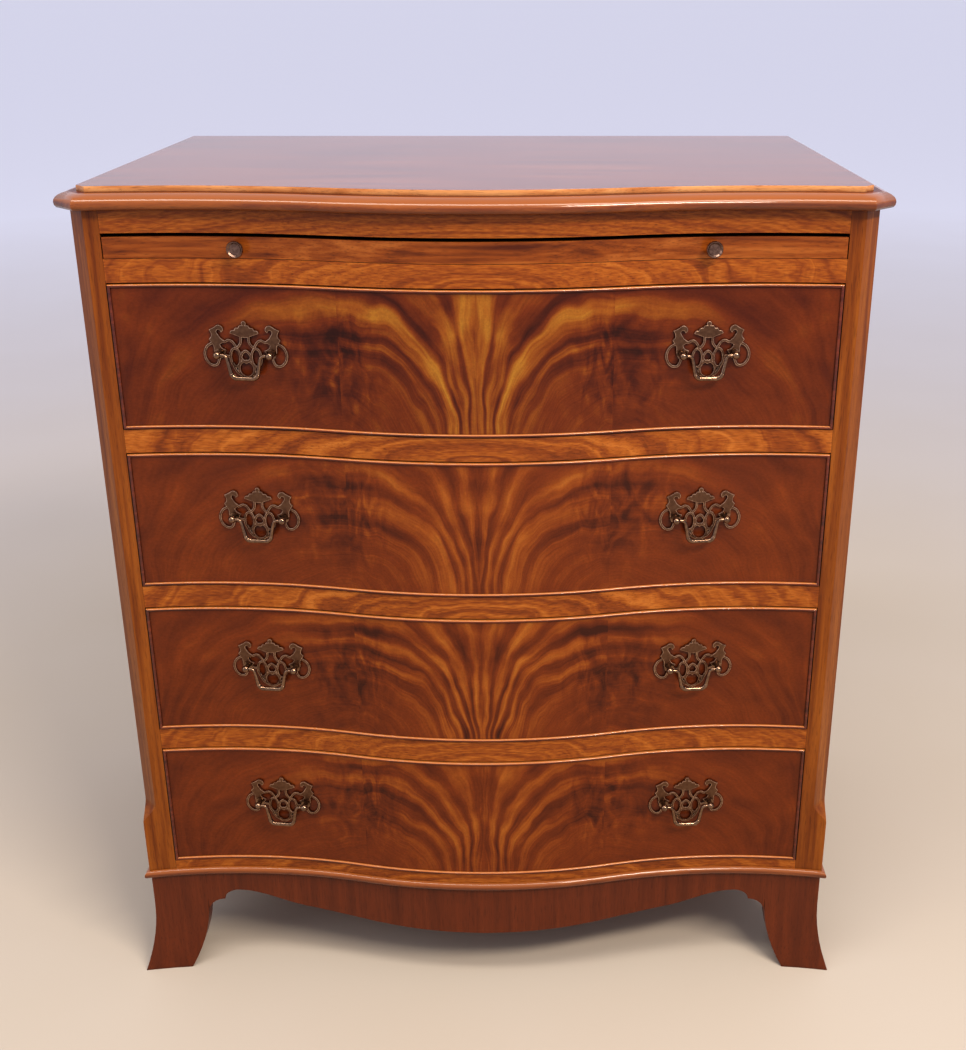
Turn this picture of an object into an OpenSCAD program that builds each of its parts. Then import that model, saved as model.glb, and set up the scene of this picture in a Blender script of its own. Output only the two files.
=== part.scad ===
// Serpentine chest of drawers in mahogany, with a brushing slide, four cockbeaded drawers,
// pierced brass handles and splayed bracket feet. All sizes are in millimetres.
// The origin is on the floor under the middle of the whole piece; the front faces -Y and Z is up.

/* [Case] */
// Width of the case over its two sides
case_w = 750; // [700:5:800]
// Depth of the case from the crest of the bow to the back
case_d = 495; // [440:5:560]
// How far the crest of the bow stands in front of the two hollows
bow_rise = 31; // [18:1:40]
// Distance of each hollow from the centre of the front
hollow_x = 273; // [240:1:300]
// Leg of the 45 degree cant on the front corners
cant = 15; // [8:1:20]
// Height of the case face below the cant's tongue
cant_stop_h = 68; // [45:1:120]
// Height over which the cant runs out in its tongue
tongue_h = 26; // [12:1:40]
// Thickness of the side panels
side_panel_t = 18; // [14:1:22]
// Width of each corner post across the front
post_w = 29; // [22:1:40]
// Depth of each corner post
post_d = 42; // [30:1:60]
// Thickness of the back panel
back_panel_t = 6; // [4:1:9]
// Width of the rebate in the side panels that holds the back panel
back_rebate = 10; // [6:1:12]

/* [Heights] */
// Height of the feet and aprons under the case
plinth_h = 122; // [110:1:140]
// Thickness of the case bottom
bottom_board_t = 20; // [18:1:26]
// Height of each drawer opening
opening_h = 143.5; // [130:0.5:160]
// Thickness of the rails between the drawers
rail_t = 24; // [18:1:30]
// Thickness of the rail under the brushing slide
slide_rail_t = 22.5; // [18:0.5:30]
// Height of the opening for the brushing slide
slide_opening_h = 23.5; // [22:0.5:30]
// Thickness of the rail under the top
top_rail_t = 22; // [16:1:30]
// Thickness of the top
top_t = 20; // [18:1:26]
// Depth of the rails from the crest of the bow
rail_d = 94; // [80:1:120]

/* [Top moulding] */
// How far the nose of the top stands proud of the case
nose_over = 13; // [8:0.5:18]
// Height of the upright fillet round the top
fillet_h = 5; // [3:0.5:6]
// Width of the flat ledge under the fillet
ledge_w = 3.5; // [2:0.5:5]
// Width of the rounded nose
nose_w = 16.5; // [12:0.5:20]
// Height of the nose's turn back under its fullest point
nose_under = 5.5; // [3:0.5:7]
// Width of that turn back
nose_tuck = 4.5; // [2:0.5:7]

/* [Base] */
// Height of the half-round base moulding
base_bead_h = 9; // [6:0.5:12]
// How far the base moulding stands proud
base_bead_out = 4.5; // [3:0.5:7]
// How far the plinth faces lie inside the case faces
plinth_set = 1; // [0:0.5:3]
// Thickness of the plinth boards
plinth_t = 20; // [16:1:24]
// Splay of the feet to the sides at the floor
splay = 16; // [6:1:20]
// Splay of the front feet to the front at the floor
splay_front = 10; // [4:1:16]
// Height over the arch's spring where the splay ends
splay_past = 16; // [8:1:24]
// Width of the front feet from the case corner
foot_w = 59.5; // [50:0.5:75]
// Length of the feet along the sides
foot_side_l = 62; // [50:1:80]
// How far the inner edge of each foot sweeps out at the floor, beside the splay
foot_sweep = 7; // [2:0.5:9]
// Leg of the glue block inside each foot
glue_block = 16; // [8:1:24]

/* [Apron arch] */
// Height of the aprons where their arch is highest
apron_h = 24; // [16:0.5:34]
// Width of the first round next to the foot
round_a_w = 18; // [12:1:24]
// Height of the first round
round_a_h = 17; // [12:1:20]
// Width of the cusp's small flat
cusp_w = 1; // [0.5:0.5:3]
// Width of the second round
round_b_w = 16; // [10:1:22]
// Height of the second round
round_b_h = 12; // [8:1:16]
// Height of the front apron at its middle
apron_mid_h = 59.5; // [52:0.5:70]
// Radius of the apron's middle sweep
apron_r = 1250; // [1000:10:1600]
// Half width of the middle sweep
apron_sweep_x = 205; // [160:1:215]

/* [Drawers] */
// Thickness of each drawer front at the hollows
front_t = 18; // [16:1:24]
// Thickness of the drawer sides
drawer_side_t = 10; // [8:1:12]
// Height of the drawer sides
drawer_side_h = 126; // [110:1:128]
// Thickness of the drawer back
drawer_back_t = 10; // [8:1:12]
// Thickness of the drawer bottom
drawer_bottom_t = 5; // [4:0.5:6]
// Height of the drawer bottom above the lower edge of the sides
bottom_up = 9; // [7:0.5:12]
// Depth of the groove that holds the drawer bottom
groove_d = 5; // [3:0.5:6]
// Space between a drawer and the back panel
drawer_behind = 18; // [10:1:40]
// Step from the top edge of the sides down to the top edge of the back
back_step = 6; // [3:1:15]
// Thickness of the cockbead strips
bead_t = 3.2; // [2.4:0.1:4]
// How far the cockbead stands proud of the drawer face
bead_proud = 2; // [1.7:0.1:3]
// Depth of the rebate that holds the cockbead
bead_rebate = 6; // [4:0.5:7]
// Number of dovetails at each drawer corner
tail_count = 3; // [2:1:4]
// Length of the lapped dovetails in the drawer fronts
lap_tail_l = 13; // [10:0.5:14]
// Width of a dovetail at its root
tail_w = 18; // [12:1:22]
// Flare of a dovetail on each side for each unit of its length
tail_slope = 0.15; // [0.1:0.01:0.2]

/* [Runners and stops] */
// Width of the drawer runners
runner_w = 27; // [22:1:40]
// Thickness of the drawer runners
runner_t = 18; // [12:1:18]
// Height of the guide strip above a runner
guide_h = 20; // [10:1:30]
// Distance of each drawer stop from the centre
stop_x = 140; // [80:5:180]
// Width of a drawer stop
stop_w = 40; // [20:1:60]
// Length of a drawer stop
stop_l = 26; // [15:1:30]
// Thickness of a drawer stop
stop_t = 4; // [3:0.5:5]

/* [Brushing slide] */
// Thickness of the slide's front strip
slide_front_h = 20; // [17:0.5:21]
// Thickness of the slide's board
slide_board_t = 17; // [14:0.5:18]
// Thickness of the front strip behind the hollows
slide_front_t = 14; // [10:1:20]
// Length of the tongue on the slide's board
tongue_l = 8; // [5:1:10]
// Thickness of that tongue
tongue_t = 6; // [4:0.5:8]
// Radius of the slide knobs
knob_r = 8; // [6:0.5:10]
// How far the knobs stand out
knob_out = 12; // [10:0.5:16]
// Radius of a knob's stem
knob_stem_r = 3; // [2:0.5:4]
// Radius of a knob's screw
knob_screw_r = 2; // [1.5:0.25:2.5]
// Length of a knob's screw
knob_screw_l = 7; // [5:0.5:7]

/* [Handles] */
// Distance of each handle and knob from the centre
handle_x = 220; // [190:1:235]
// Height of the handle posts above the middle of a drawer front
handle_up = 5; // [0:0.5:8]
// Distance between the two posts of a handle
post_span = 50.8; // [46:0.2:56]
// Thickness of the pierced plate
plate_t = 1.6; // [1.2:0.1:2.4]
// Half width of the pierced plate
plate_half_w = 41; // [39:0.5:43]
// Distance of the bail's hinge line from the drawer face
hinge_out = 11.5; // [10.5:0.25:14]
// Radius of the ball on each post
ball_r = 3.9; // [3.4:0.1:4.4]
// Radius of a post's neck
neck_r = 2.6; // [2.2:0.1:3]
// Radius of a post's collar
collar_r = 4.8; // [4.2:0.1:5.4]
// Thickness of a post's collar
collar_t = 1.3; // [0.8:0.1:1.8]
// Radius of the screw behind each post
screw_r = 2; // [1.5:0.1:2.4]
// Radius of the nut inside the drawer, over its corners
nut_r = 4.6; // [3.8:0.1:6]
// Thickness of that nut
nut_t = 3; // [2:0.5:4]
// Length of screw past the nut
screw_past = 1.5; // [0.5:0.5:3]
// Radius of the bail's wire
bail_r = 1.6; // [1.3:0.05:1.8]
// Drop of the bail's grip below its hinge line
bail_drop = 22.2; // [20:0.2:26]
// Length of the bail's pivot past a post's centre
pivot_past = 2.2; // [1:0.2:2.6]
// Distance of the first bend from a post's centre
neck_l = 5; // [4.6:0.1:6]
// Radius of the bend at the bail's neck
neck_bend_r = 4.5; // [4:0.1:5.5]
// Radius of the bend at the bail's grip
grip_bend_r = 6; // [5:0.1:7]
// Turn of each bend in degrees
bend_turn = 78; // [70:1:84]

/* [Clearances] */
// Gap between a drawer side and its runner
runner_gap = 0.3; // [0.2:0.05:0.5]
// Gap under a drawer front
front_gap_low = 0.6; // [0.4:0.05:1]
// Gap over a drawer front
front_gap_top = 1.2; // [0.6:0.05:2]
// Gap at each end of a drawer and of the slide
front_gap_side = 0.8; // [0.5:0.05:1.2]
// Gap between a drawer and its stops
stop_gap = 0.3; // [0.2:0.05:0.5]
// Gap between the slide and its runners and back stop
slide_gap = 0.3; // [0.2:0.05:0.5]
// Gap in glued joints
joint_fit = 0.1; // [0.05:0.01:0.2]
// Radial gap of a pivot in its bore
pivot_fit = 0.06; // [0.02:0.01:0.1]
// Gap between a fitting and what it sits on
seat_gap = 0.08; // [0.05:0.01:0.1]
// Radial gap round a screw
screw_fit = 0.2; // [0.1:0.05:0.4]

/* [Hidden] */
drawer_count = 4;
PARTS = ["front", "cockbead", "side_left", "side_right", "back", "bottom", "handle_plates",
    "posts", "bail_left", "bail_right"];

mahogany = "#8a4519";
flame = "#7a3412";
dark_mahogany = "#5e2710";
pine = "#c79a62";
brass = "#5b4a34";

// Distance between the stations where the serpentine line changes direction
station = 17.6;
round_fn = 48;
small_fn = 24;
// A cutter passes this far through what it cuts
past = 1;

half_w = case_w / 2;
opening_half = half_w - post_w;
drawer_half = opening_half - front_gap_side;
whole_d = case_d + nose_over;
crest_y = nose_over - whole_d / 2;
back_y = whole_d / 2;
bow_r = (hollow_x * hollow_x / 4 + bow_rise * bow_rise / 4) / bow_rise;
panel_front_y = back_y - back_panel_t;

case_bottom_z = plinth_h + bottom_board_t;
stack_h = drawer_count * opening_h + (drawer_count - 1) * rail_t;
slide_rail_z = case_bottom_z + stack_h;
slide_floor_z = slide_rail_z + slide_rail_t;
top_rail_z = slide_floor_z + slide_opening_h;
under_top_z = top_rail_z + top_rail_t;
top_z = under_top_z + top_t;

inner_face_y = crest_y + bow_rise + front_t;
drawer_end_y = panel_front_y - drawer_behind;
rail_back_y = crest_y + rail_d;
drawer_h = opening_h - front_gap_low - front_gap_top;

// Plan of the serpentine front: one arc bows out in the middle and one is hollow on each side,
// all of one radius, so that they meet in line halfway to the hollows.
function arcs(a) =
    let (d = a - hollow_x)
    a < hollow_x / 2
        ? bow_r - sqrt(bow_r * bow_r - a * a)
        : bow_rise - bow_r + sqrt(bow_r * bow_r - d * d);

// Every piece takes the line from the same stations, so that pieces of any width fit each other
function bow(x) =
    let (low = floor(abs(x) / station), t = abs(x) / station - low)
    arcs(low * station) * (1 - t) + arcs((low + 1) * station) * t;
function front_y(x) = crest_y + bow(x);
function front_line(x0, x1, set) =
    let (first = ceil(x0 / station + 0.01), last = floor(x1 / station - 0.01))
    [for (x = concat([x0], [for (i = [first:1:last]) i * station], [x1])) [x, front_y(x) + set]];
function reversed(list) = [for (i = [len(list) - 1:-1:0]) list[i]];

// Outline of the case seen from above, from the back left corner round the front to the back
// right corner. A leg of 0 gives square front corners.
function case_path(leg) =
    let (x = half_w - leg, y = front_y(x) + leg)
    concat([[-half_w, back_y]], leg > 0 ? [[-half_w, y]] : [], front_line(-x, x, 0),
        leg > 0 ? [[half_w, y]] : [], [[half_w, back_y]]);
function outward(a, b) = let (d = (b - a) / norm(b - a)) [d[1], -d[0]];
function mitre(path, i) =
    let (last = len(path) - 1,
        s = outward(path[max(i - 1, 0)], path[max(i, 1)])
            + outward(path[min(i, last - 1)], path[min(i + 1, last)]))
    2 * s / (s * s);
function moved_out(path, d) = [for (i = [0:len(path) - 1]) path[i] + d * mitre(path, i)];

// Height of the floor of drawer opening n, counted from the top
function floor_z(n) = case_bottom_z + (drawer_count - n) * (opening_h + rail_t);
function front_low_z(n) = floor_z(n) + front_gap_low;
function side_low_z(n) = floor_z(n) + runner_gap;
function handle_z(n) = front_low_z(n) + drawer_h / 2 + handle_up;

// Turn of the handles, which follow the surface
handle_turn = asin((hollow_x - handle_x) / bow_r);
// The plate touches the hollow face with its two ends, so its middle stands off a little
plate_off = plate_half_w * plate_half_w / (2 * bow_r) + seat_gap;

// Tube of facets through a row of rings, each ring running anticlockwise seen from its end
module loft(rings) {
    n = len(rings);
    m = len(rings[0]);
    polyhedron(
        points = [for (ring = rings) each ring],
        faces = concat(
            [[for (j = [0:m - 1]) j]],
            [[for (j = [m - 1:-1:0]) (n - 1) * m + j]],
            [for (i = [0:n - 2]) for (j = [0:m - 1])
                let (a = i * m + j, b = i * m + (j + 1) % m)
                each [[a, a + m, b + m], [a, b + m, b]]]),
        convexity = 6);
}

// Moulding that follows the case outline. A profile point is [distance out, height].
module run_moulding(path, profile) {
    loft([for (i = [0:len(path) - 1]) let (out = mitre(path, i))
        [for (p = profile) [path[i][0] + out[0] * p[0], path[i][1] + out[1] * p[0], p[1]]]]);
}

// Board with the serpentine front edge and a straight back edge
module front_board(half, set, far_y, z, t) {
    translate([0, 0, z])
        linear_extrude(t)
            polygon(concat(front_line(-half, half, set), [[half, far_y], [-half, far_y]]));
}

// Bent board between two lines that both follow the front
module front_strip(half, near, far, z, t) {
    translate([0, 0, z])
        linear_extrude(t)
            polygon(concat(front_line(-half, half, near),
                reversed(front_line(-half, half, far))));
}

module both_sides() {
    children();
    mirror([1, 0, 0]) children();
}

// Shape drawn on the side view, with Y across and Z up, and made thick along X
module side_view(x, t) {
    translate([x, 0, 0]) rotate([90, 0, 90]) linear_extrude(t) children();
}

// Top

nose_in = nose_over - nose_w - ledge_w;
nose_full_z = under_top_z + nose_under;
ledge_z = top_z - fillet_h;
nose_profile = concat(
    [[nose_in, under_top_z], [nose_in, ledge_z]],
    [for (a = [90:-15:0])
        [nose_in + ledge_w + nose_w * cos(a), nose_full_z + (ledge_z - nose_full_z) * sin(a)]],
    [for (a = [-30:-30:-90])
        [nose_over - nose_tuck + nose_tuck * cos(a), nose_full_z + nose_under * sin(a)]]);

module top_board() {
    color(mahogany)
        translate([0, 0, under_top_z])
            linear_extrude(top_t)
                polygon(moved_out(case_path(cant), nose_in));
}

module top_moulding() {
    color(mahogany) run_moulding(case_path(cant), nose_profile);
}

// Case

module side_panel() {
    near_y = front_y(half_w) + post_d;
    inner_x = half_w - side_panel_t;
    rebate_x = half_w - side_panel_t + back_rebate;
    color(mahogany)
        translate([0, 0, plinth_h])
            linear_extrude(under_top_z - plinth_h)
                polygon([[inner_x, near_y], [half_w, near_y], [half_w, back_y],
                    [rebate_x, back_y], [rebate_x, panel_front_y], [inner_x, panel_front_y]]);
}

// The cant's cutter in the plane that halves the corner: [distance from the cant, height]
cant_y = front_y(half_w - cant);
corner_depth = (cant + cant_y - front_y(half_w)) / sqrt(2);
cant_stop_z = plinth_h + cant_stop_h;
cant_cut = concat(
    [for (i = [0:8]) let (turn = 180 * i / 8)
        [(corner_depth + past) * (1 - cos(turn)) / 2, cant_stop_z + tongue_h * (1 - i / 8)]],
    [[corner_depth + 2 * past, cant_stop_z], [corner_depth + 2 * past, under_top_z + past],
        [0, under_top_z + past]]);

module corner_post() {
    far_y = front_y(half_w) + post_d;
    color(mahogany) difference() {
        translate([0, 0, plinth_h])
            linear_extrude(under_top_z - plinth_h)
                polygon(concat(front_line(opening_half, half_w, 0),
                    [[half_w, far_y], [opening_half, far_y]]));
        translate([half_w - cant / 2, cant_y + cant / 2, 0])
            rotate([90, 0, -45])
                linear_extrude(4 * cant, center = true)
                    polygon(cant_cut);
    }
}

module back_panel() {
    half = half_w - side_panel_t + back_rebate - joint_fit;
    color(pine)
        translate([-half, panel_front_y, plinth_h])
            cube([2 * half, back_panel_t, under_top_z - plinth_h]);
}

module stops(z) {
    both_sides()
        translate([stop_x - stop_w / 2, inner_face_y + stop_gap, z - past])
            cube([stop_w, stop_l, stop_t + past]);
}

// The bottom board is notched round the corner posts
module bottom_board() {
    inner_x = half_w - side_panel_t;
    post_back_y = front_y(half_w) + post_d;
    color(dark_mahogany) union() {
        translate([0, 0, plinth_h])
            linear_extrude(bottom_board_t)
                polygon(concat(front_line(-opening_half, opening_half, 0),
                    [[opening_half, post_back_y], [inner_x, post_back_y],
                        [inner_x, panel_front_y], [-inner_x, panel_front_y],
                        [-inner_x, post_back_y], [-opening_half, post_back_y]]));
        stops(case_bottom_z);
    }
}

module top_rail() {
    color(mahogany) front_board(opening_half, 0, rail_back_y, top_rail_z, top_rail_t);
}

module slide_rail() {
    color(mahogany) front_board(opening_half, 0, rail_back_y, slide_rail_z, slide_rail_t);
}

module drawer_rails() {
    for (n = [1:drawer_count - 1])
        color(mahogany) union() {
            front_board(opening_half, 0, rail_back_y, floor_z(n) - rail_t, rail_t);
            stops(floor_z(n));
        }
}

// A runner carries the side of a drawer or of the slide, and its guide keeps it square
module runner(z, near_y) {
    outer_x = half_w - side_panel_t;
    translate([0, near_y, 0])
        rotate([90, 0, 0])
            mirror([0, 0, 1])
                linear_extrude(panel_front_y - near_y)
                    polygon([[outer_x - runner_w, z - runner_t], [outer_x, z - runner_t],
                        [outer_x, z + guide_h], [opening_half, z + guide_h],
                        [opening_half, z], [outer_x - runner_w, z]]);
}

module drawer_runners() {
    outer_x = half_w - side_panel_t;
    guide_l = panel_front_y - rail_back_y;
    color(pine) both_sides() {
        for (n = [1:drawer_count - 1]) runner(floor_z(n), rail_back_y);
        translate([opening_half, rail_back_y, case_bottom_z])
            cube([outer_x - opening_half, guide_l, guide_h]);
        runner(slide_floor_z, rail_back_y);
        translate([outer_x - runner_w, rail_back_y, top_rail_z])
            cube([runner_w, guide_l, top_rail_t]);
    }
}

// Base moulding, aprons and feet

base_bead_z = case_bottom_z - bottom_board_t;
base_profile = [for (a = [90:-22.5:-90])
    [base_bead_out * cos(a), base_bead_z + base_bead_h / 2 * (1 + sin(a))]];

module base_moulding() {
    color(mahogany) run_moulding(case_path(0), base_profile);
}

plinth_half = half_w - plinth_set;
foot_in_x = half_w - foot_w;
arch_top_z = plinth_h - apron_h;
spring_z = arch_top_z - round_b_h - round_a_h;
splay_z = spring_z + splay_past;
apron_low_z = plinth_h - apron_mid_h;
function splayed(z) = z < splay_z ? pow(1 - z / splay_z, 2) : 0;
function plinth_y(x) = front_y(x) + plinth_set;
function foot_edge(z) =
    foot_in_x + (z < spring_z ? foot_sweep * pow(1 - z / spring_z, 2) : 0);
foot_levels = concat([for (i = [0:6]) spring_z * i / 6], [splay_z, plinth_h]);

// One front foot is a pair of mitred brackets with a glue block in their corner
function front_foot_ring(z) =
    let (f = splay * splayed(z), g = splay_front * splayed(z), edge = foot_edge(z),
        far_x = plinth_half + f, steps = 3,
        corner_y = plinth_y(plinth_half) - g, end_y = corner_y + foot_side_l)
    [for (p = concat(
        [for (i = [0:steps]) let (x = edge + (plinth_half - edge) * i / steps)
            [x + f, plinth_y(x) - g]],
        [[far_x, end_y], [far_x - plinth_t, end_y],
            [far_x - plinth_t, corner_y + plinth_t + glue_block],
            [far_x - plinth_t - glue_block, corner_y + plinth_t],
            [edge + f, plinth_y(edge) - g + plinth_t]])) [p[0], p[1], z]];

// A back foot splays sideways only and stands flush with the back
function back_foot_ring(z) =
    let (f = splay * splayed(z), far_x = plinth_half + f, near_y = back_y - foot_side_l + f,
        in_y = back_y - plinth_t)
    [for (p = [[far_x, near_y], [far_x, back_y], [foot_in_x, back_y], [foot_in_x, in_y],
        [far_x - plinth_t - glue_block, in_y], [far_x - plinth_t, in_y - glue_block],
        [far_x - plinth_t, near_y]]) [p[0], p[1], z]];

// The two brackets of a foot meet in a mitre from its outer corner to the glue block's face.
// Each list says which points of the foot's ring a bracket has.
front_brackets = [[8, 0, 1, 2, 3, 7], [4, 5, 6, 7, 3]];
back_brackets = [[1, 2, 3, 4], [1, 4, 5, 6, 0]];
function bracket(ring, picks) = [for (j = picks) ring[j]];

module front_feet() {
    color(dark_mahogany) both_sides()
        for (picks = front_brackets)
            loft([for (z = foot_levels) bracket(front_foot_ring(z), picks)]);
}

module back_feet() {
    color(dark_mahogany) both_sides()
        for (picks = back_brackets)
            loft([for (z = foot_levels) bracket(back_foot_ring(z), picks)]);
}

// Lower edge of the apron: two rounds with a cusp between them, then a long sweep that joins
// the low middle in line with it. Each point is [distance from the end, height].
round_b_x = round_a_w + cusp_w;
arch_end = [for (a = [0:15:90]) [round_a_w * (1 - cos(a)), spring_z + round_a_h * sin(a)]];
arch_cusp = [for (a = [0:15:90])
    [round_b_x + round_b_w * (1 - cos(a)), spring_z + round_a_h + round_b_h * sin(a)]];
arch_top_x = foot_in_x - round_b_x - round_b_w;
sweep_z = apron_low_z + apron_sweep_x * apron_sweep_x / (2 * apron_r);
sweep_rise = (arch_top_x - apron_sweep_x) * apron_sweep_x / apron_r;
function eased(t, from, rise, to) =
    from * (2 * t * t * t - 3 * t * t + 1) + rise * (t * t * t - 2 * t * t + t)
        + to * (3 * t * t - 2 * t * t * t);
right_arch = concat(
    [for (i = [0:5]) let (x = apron_sweep_x * i / 5) [x, apron_low_z + x * x / (2 * apron_r)]],
    [for (i = [1:6]) let (t = i / 7)
        [apron_sweep_x + (arch_top_x - apron_sweep_x) * t,
            eased(t, sweep_z, sweep_rise, arch_top_z)]],
    reversed([for (p = concat(arch_end, arch_cusp)) [foot_in_x - p[0], p[1]]]));

module front_apron() {
    left_arch = reversed([for (p = right_arch) [-p[0], p[1]]]);
    color(dark_mahogany) intersection() {
        front_strip(foot_in_x, plinth_set, plinth_set + plinth_t, 0, plinth_h);
        rotate([90, 0, 0])
            linear_extrude(case_d)
                polygon(concat([for (i = [0:len(left_arch) - 2]) left_arch[i]], right_arch,
                    [[foot_in_x + past, spring_z], [foot_in_x + past, plinth_h + past],
                        [-foot_in_x - past, plinth_h + past], [-foot_in_x - past, spring_z]]));
    }
}

module side_aprons() {
    near_y = plinth_y(plinth_half) + foot_side_l;
    far_y = back_y - foot_side_l;
    ends = concat(arch_end, arch_cusp);
    near_edge = [for (p = ends) [near_y + p[0], p[1]]];
    far_edge = reversed([for (p = ends) [far_y - p[0], p[1]]]);
    color(dark_mahogany) both_sides()
        side_view(plinth_half - plinth_t, plinth_t)
            polygon(concat(near_edge, far_edge, [[far_y, plinth_h], [near_y, plinth_h]]));
}

// Brushing slide

slide_z = slide_floor_z + slide_gap;
slide_back_y = crest_y + bow_rise + slide_front_t;
tongue_z = slide_z + (slide_board_t - tongue_t) / 2;
tongue_half = drawer_half - tongue_l;

module slide_board() {
    length = panel_front_y - slide_gap - slide_back_y;
    color(mahogany) union() {
        translate([-drawer_half, slide_back_y, slide_z])
            cube([2 * drawer_half, length, slide_board_t]);
        translate([-tongue_half, slide_back_y - tongue_l, tongue_z])
            cube([2 * tongue_half, tongue_l + past, tongue_t]);
    }
}

module slide_front() {
    color(mahogany) difference() {
        front_board(drawer_half, 0, slide_back_y, slide_z, slide_front_h);
        translate([-tongue_half - joint_fit, slide_back_y - tongue_l - joint_fit,
            tongue_z - joint_fit])
            cube([2 * (tongue_half + joint_fit), tongue_l + joint_fit + past,
                tongue_t + 2 * joint_fit]);
        both_sides()
            on_front(1, slide_z + slide_front_h / 2)
                rotate([90, 0, 0])
                    translate([0, 0, -knob_screw_l - joint_fit])
                        cylinder(h = knob_screw_l + joint_fit + past,
                            r = knob_screw_r + seat_gap, $fn = small_fn);
    }
}

// Puts a fitting on the drawer face at a handle's place, square to the surface there.
// The fitting's own X runs along the surface and its -Y points out.
module on_front(side, z) {
    translate([side * handle_x, front_y(handle_x), z])
        rotate([0, 0, side * handle_turn])
            children();
}

module slide_knobs() {
    color(brass)
        for (side = [-1, 1])
            on_front(side, slide_z + slide_front_h / 2)
                rotate([90, 0, 0])
                    translate([0, 0, seat_gap])
                        knob();
}

// Round knob with a raised rim round a shallow dish, turned in one piece with its screw
module knob() {
    rim = knob_r / 6;
    rotate_extrude($fn = round_fn)
        polygon([[0, -knob_screw_l], [knob_screw_r, -knob_screw_l], [knob_screw_r, 0],
            [knob_stem_r + rim, 0], [knob_stem_r + rim, rim], [knob_stem_r, 2 * rim],
            [knob_stem_r, knob_out - 4 * rim], [knob_r - rim / 2, knob_out - 2 * rim],
            [knob_r, knob_out - rim], [knob_r - rim / 2, knob_out],
            [knob_r - rim, knob_out], [knob_r - 2 * rim, knob_out - rim],
            [0, knob_out - rim]]);
}

// Drawers

// Dovetails on the side view: each tail grows wider away from its root. The four corners of
// tail i run upwards.
function tail(i, root_y, way, length, low_z, h, fit) =
    let (z = low_z + h * (i + 0.5) / tail_count, wide = tail_w / 2 + fit,
        tip = wide + tail_slope * length, tip_y = root_y + way * (length + fit))
    [[root_y, z - wide], [tip_y, z - tip], [tip_y, z + tip], [root_y, z + wide]];
module tails(root_y, way, length, low_z, h, fit) {
    for (i = [0:tail_count - 1]) polygon(tail(i, root_y, way, length, low_z, h, fit));
}

// The back board stands on the drawer bottom
function back_low_z(n) = side_low_z(n) + bottom_up + drawer_bottom_t + joint_fit;
back_board_h = drawer_side_h - bottom_up - drawer_bottom_t - joint_fit - back_step;
side_in_x = drawer_half - drawer_side_t;
back_in_y = drawer_end_y - drawer_back_t;

module bottom_groove(n) {
    half = side_in_x + groove_d;
    translate([-half, inner_face_y - groove_d, side_low_z(n) + bottom_up - joint_fit])
        cube([2 * half, drawer_end_y - inner_face_y + groove_d + past,
            drawer_bottom_t + 2 * joint_fit]);
}

module drawer_front(n) {
    low_z = front_low_z(n);
    color(flame) difference() {
        union() {
            front_board(drawer_half, bead_rebate, inner_face_y, low_z, drawer_h);
            front_strip(drawer_half - bead_t, 0, bead_rebate + past, low_z + bead_t,
                drawer_h - 2 * bead_t);
        }
        bottom_groove(n);
        both_sides()
            side_view(side_in_x - joint_fit, drawer_side_t + joint_fit + past)
                tails(inner_face_y, -1, lap_tail_l, side_low_z(n), drawer_side_h, joint_fit);
        for (side = [-1, 1]) on_front(side, handle_z(n)) screw_holes();
    }
}

module screw_holes() {
    for (x = [-post_span / 2, post_span / 2])
        translate([x, 0, 0])
            rotate([90, 0, 0])
                cylinder(h = 3 * front_t, r = screw_r + screw_fit, center = true,
                    $fn = small_fn);
}

// The cockbead is one mitred frame round the drawer front, with a round nose
bead_round = bead_t / 2;
bead_section = concat(
    [[0, -bead_rebate], [bead_t, -bead_rebate]],
    [for (a = [0:36:180])
        [bead_round * (1 + cos(a)), bead_proud - bead_round * (1 - sin(a))]]);

module drawer_cockbead(n) {
    low_z = front_low_z(n);
    high_z = low_z + drawer_h;
    inner = drawer_half - 2 * bead_t;
    row = concat([-drawer_half], [for (p = front_line(-inner, inner, 0)) p[0]], [drawer_half]);
    // Each corner of the frame is [x, z, lean of the mitre along x, lean along z]
    frame = concat(
        [for (x = row) [x, low_z, inward(x), 1]],
        [for (x = reversed(row)) [x, high_z, inward(x), -1]]);
    rings = [for (f = frame)
        [for (p = bead_section) let (x = f[0] + f[2] * p[0])
            [x, front_y(x) - p[1], f[1] + f[3] * p[0]]]];
    n_rings = len(rings);
    m = len(bead_section);
    color(mahogany)
        polyhedron(
            points = [for (ring = rings) each ring],
            faces = [for (i = [0:n_rings - 1]) for (j = [0:m - 1])
                let (c = (i + 1) % n_rings * m, a = i * m + j, b = i * m + (j + 1) % m)
                each [[a, b, c + (j + 1) % m], [a, c + (j + 1) % m, c + j]]],
            convexity = 8);
}
function inward(x) = abs(x) > drawer_half - joint_fit ? -sign(x) : 0;

module drawer_side(n) {
    low_z = side_low_z(n);
    back_tails = [for (i = [0:tail_count - 1])
        each tail(i, back_in_y, 1, drawer_back_t, back_low_z(n), back_board_h, 0)];
    lap_tails = [for (i = [0:tail_count - 1])
        each tail(i, inner_face_y, -1, lap_tail_l, low_z, drawer_side_h, 0)];
    color(pine) difference() {
        side_view(side_in_x, drawer_side_t)
            polygon(concat([[back_in_y, low_z]], back_tails,
                [[back_in_y, low_z + drawer_side_h], [inner_face_y, low_z + drawer_side_h]],
                reversed(lap_tails), [[inner_face_y, low_z]]));
        bottom_groove(n);
    }
}

module drawer_back(n) {
    color(pine) difference() {
        translate([-drawer_half, back_in_y, back_low_z(n)])
            cube([2 * drawer_half, drawer_back_t, back_board_h]);
        both_sides()
            side_view(side_in_x, drawer_side_t + past)
                tails(back_in_y, 1, drawer_back_t + past, back_low_z(n), back_board_h,
                    joint_fit);
    }
}

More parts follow.
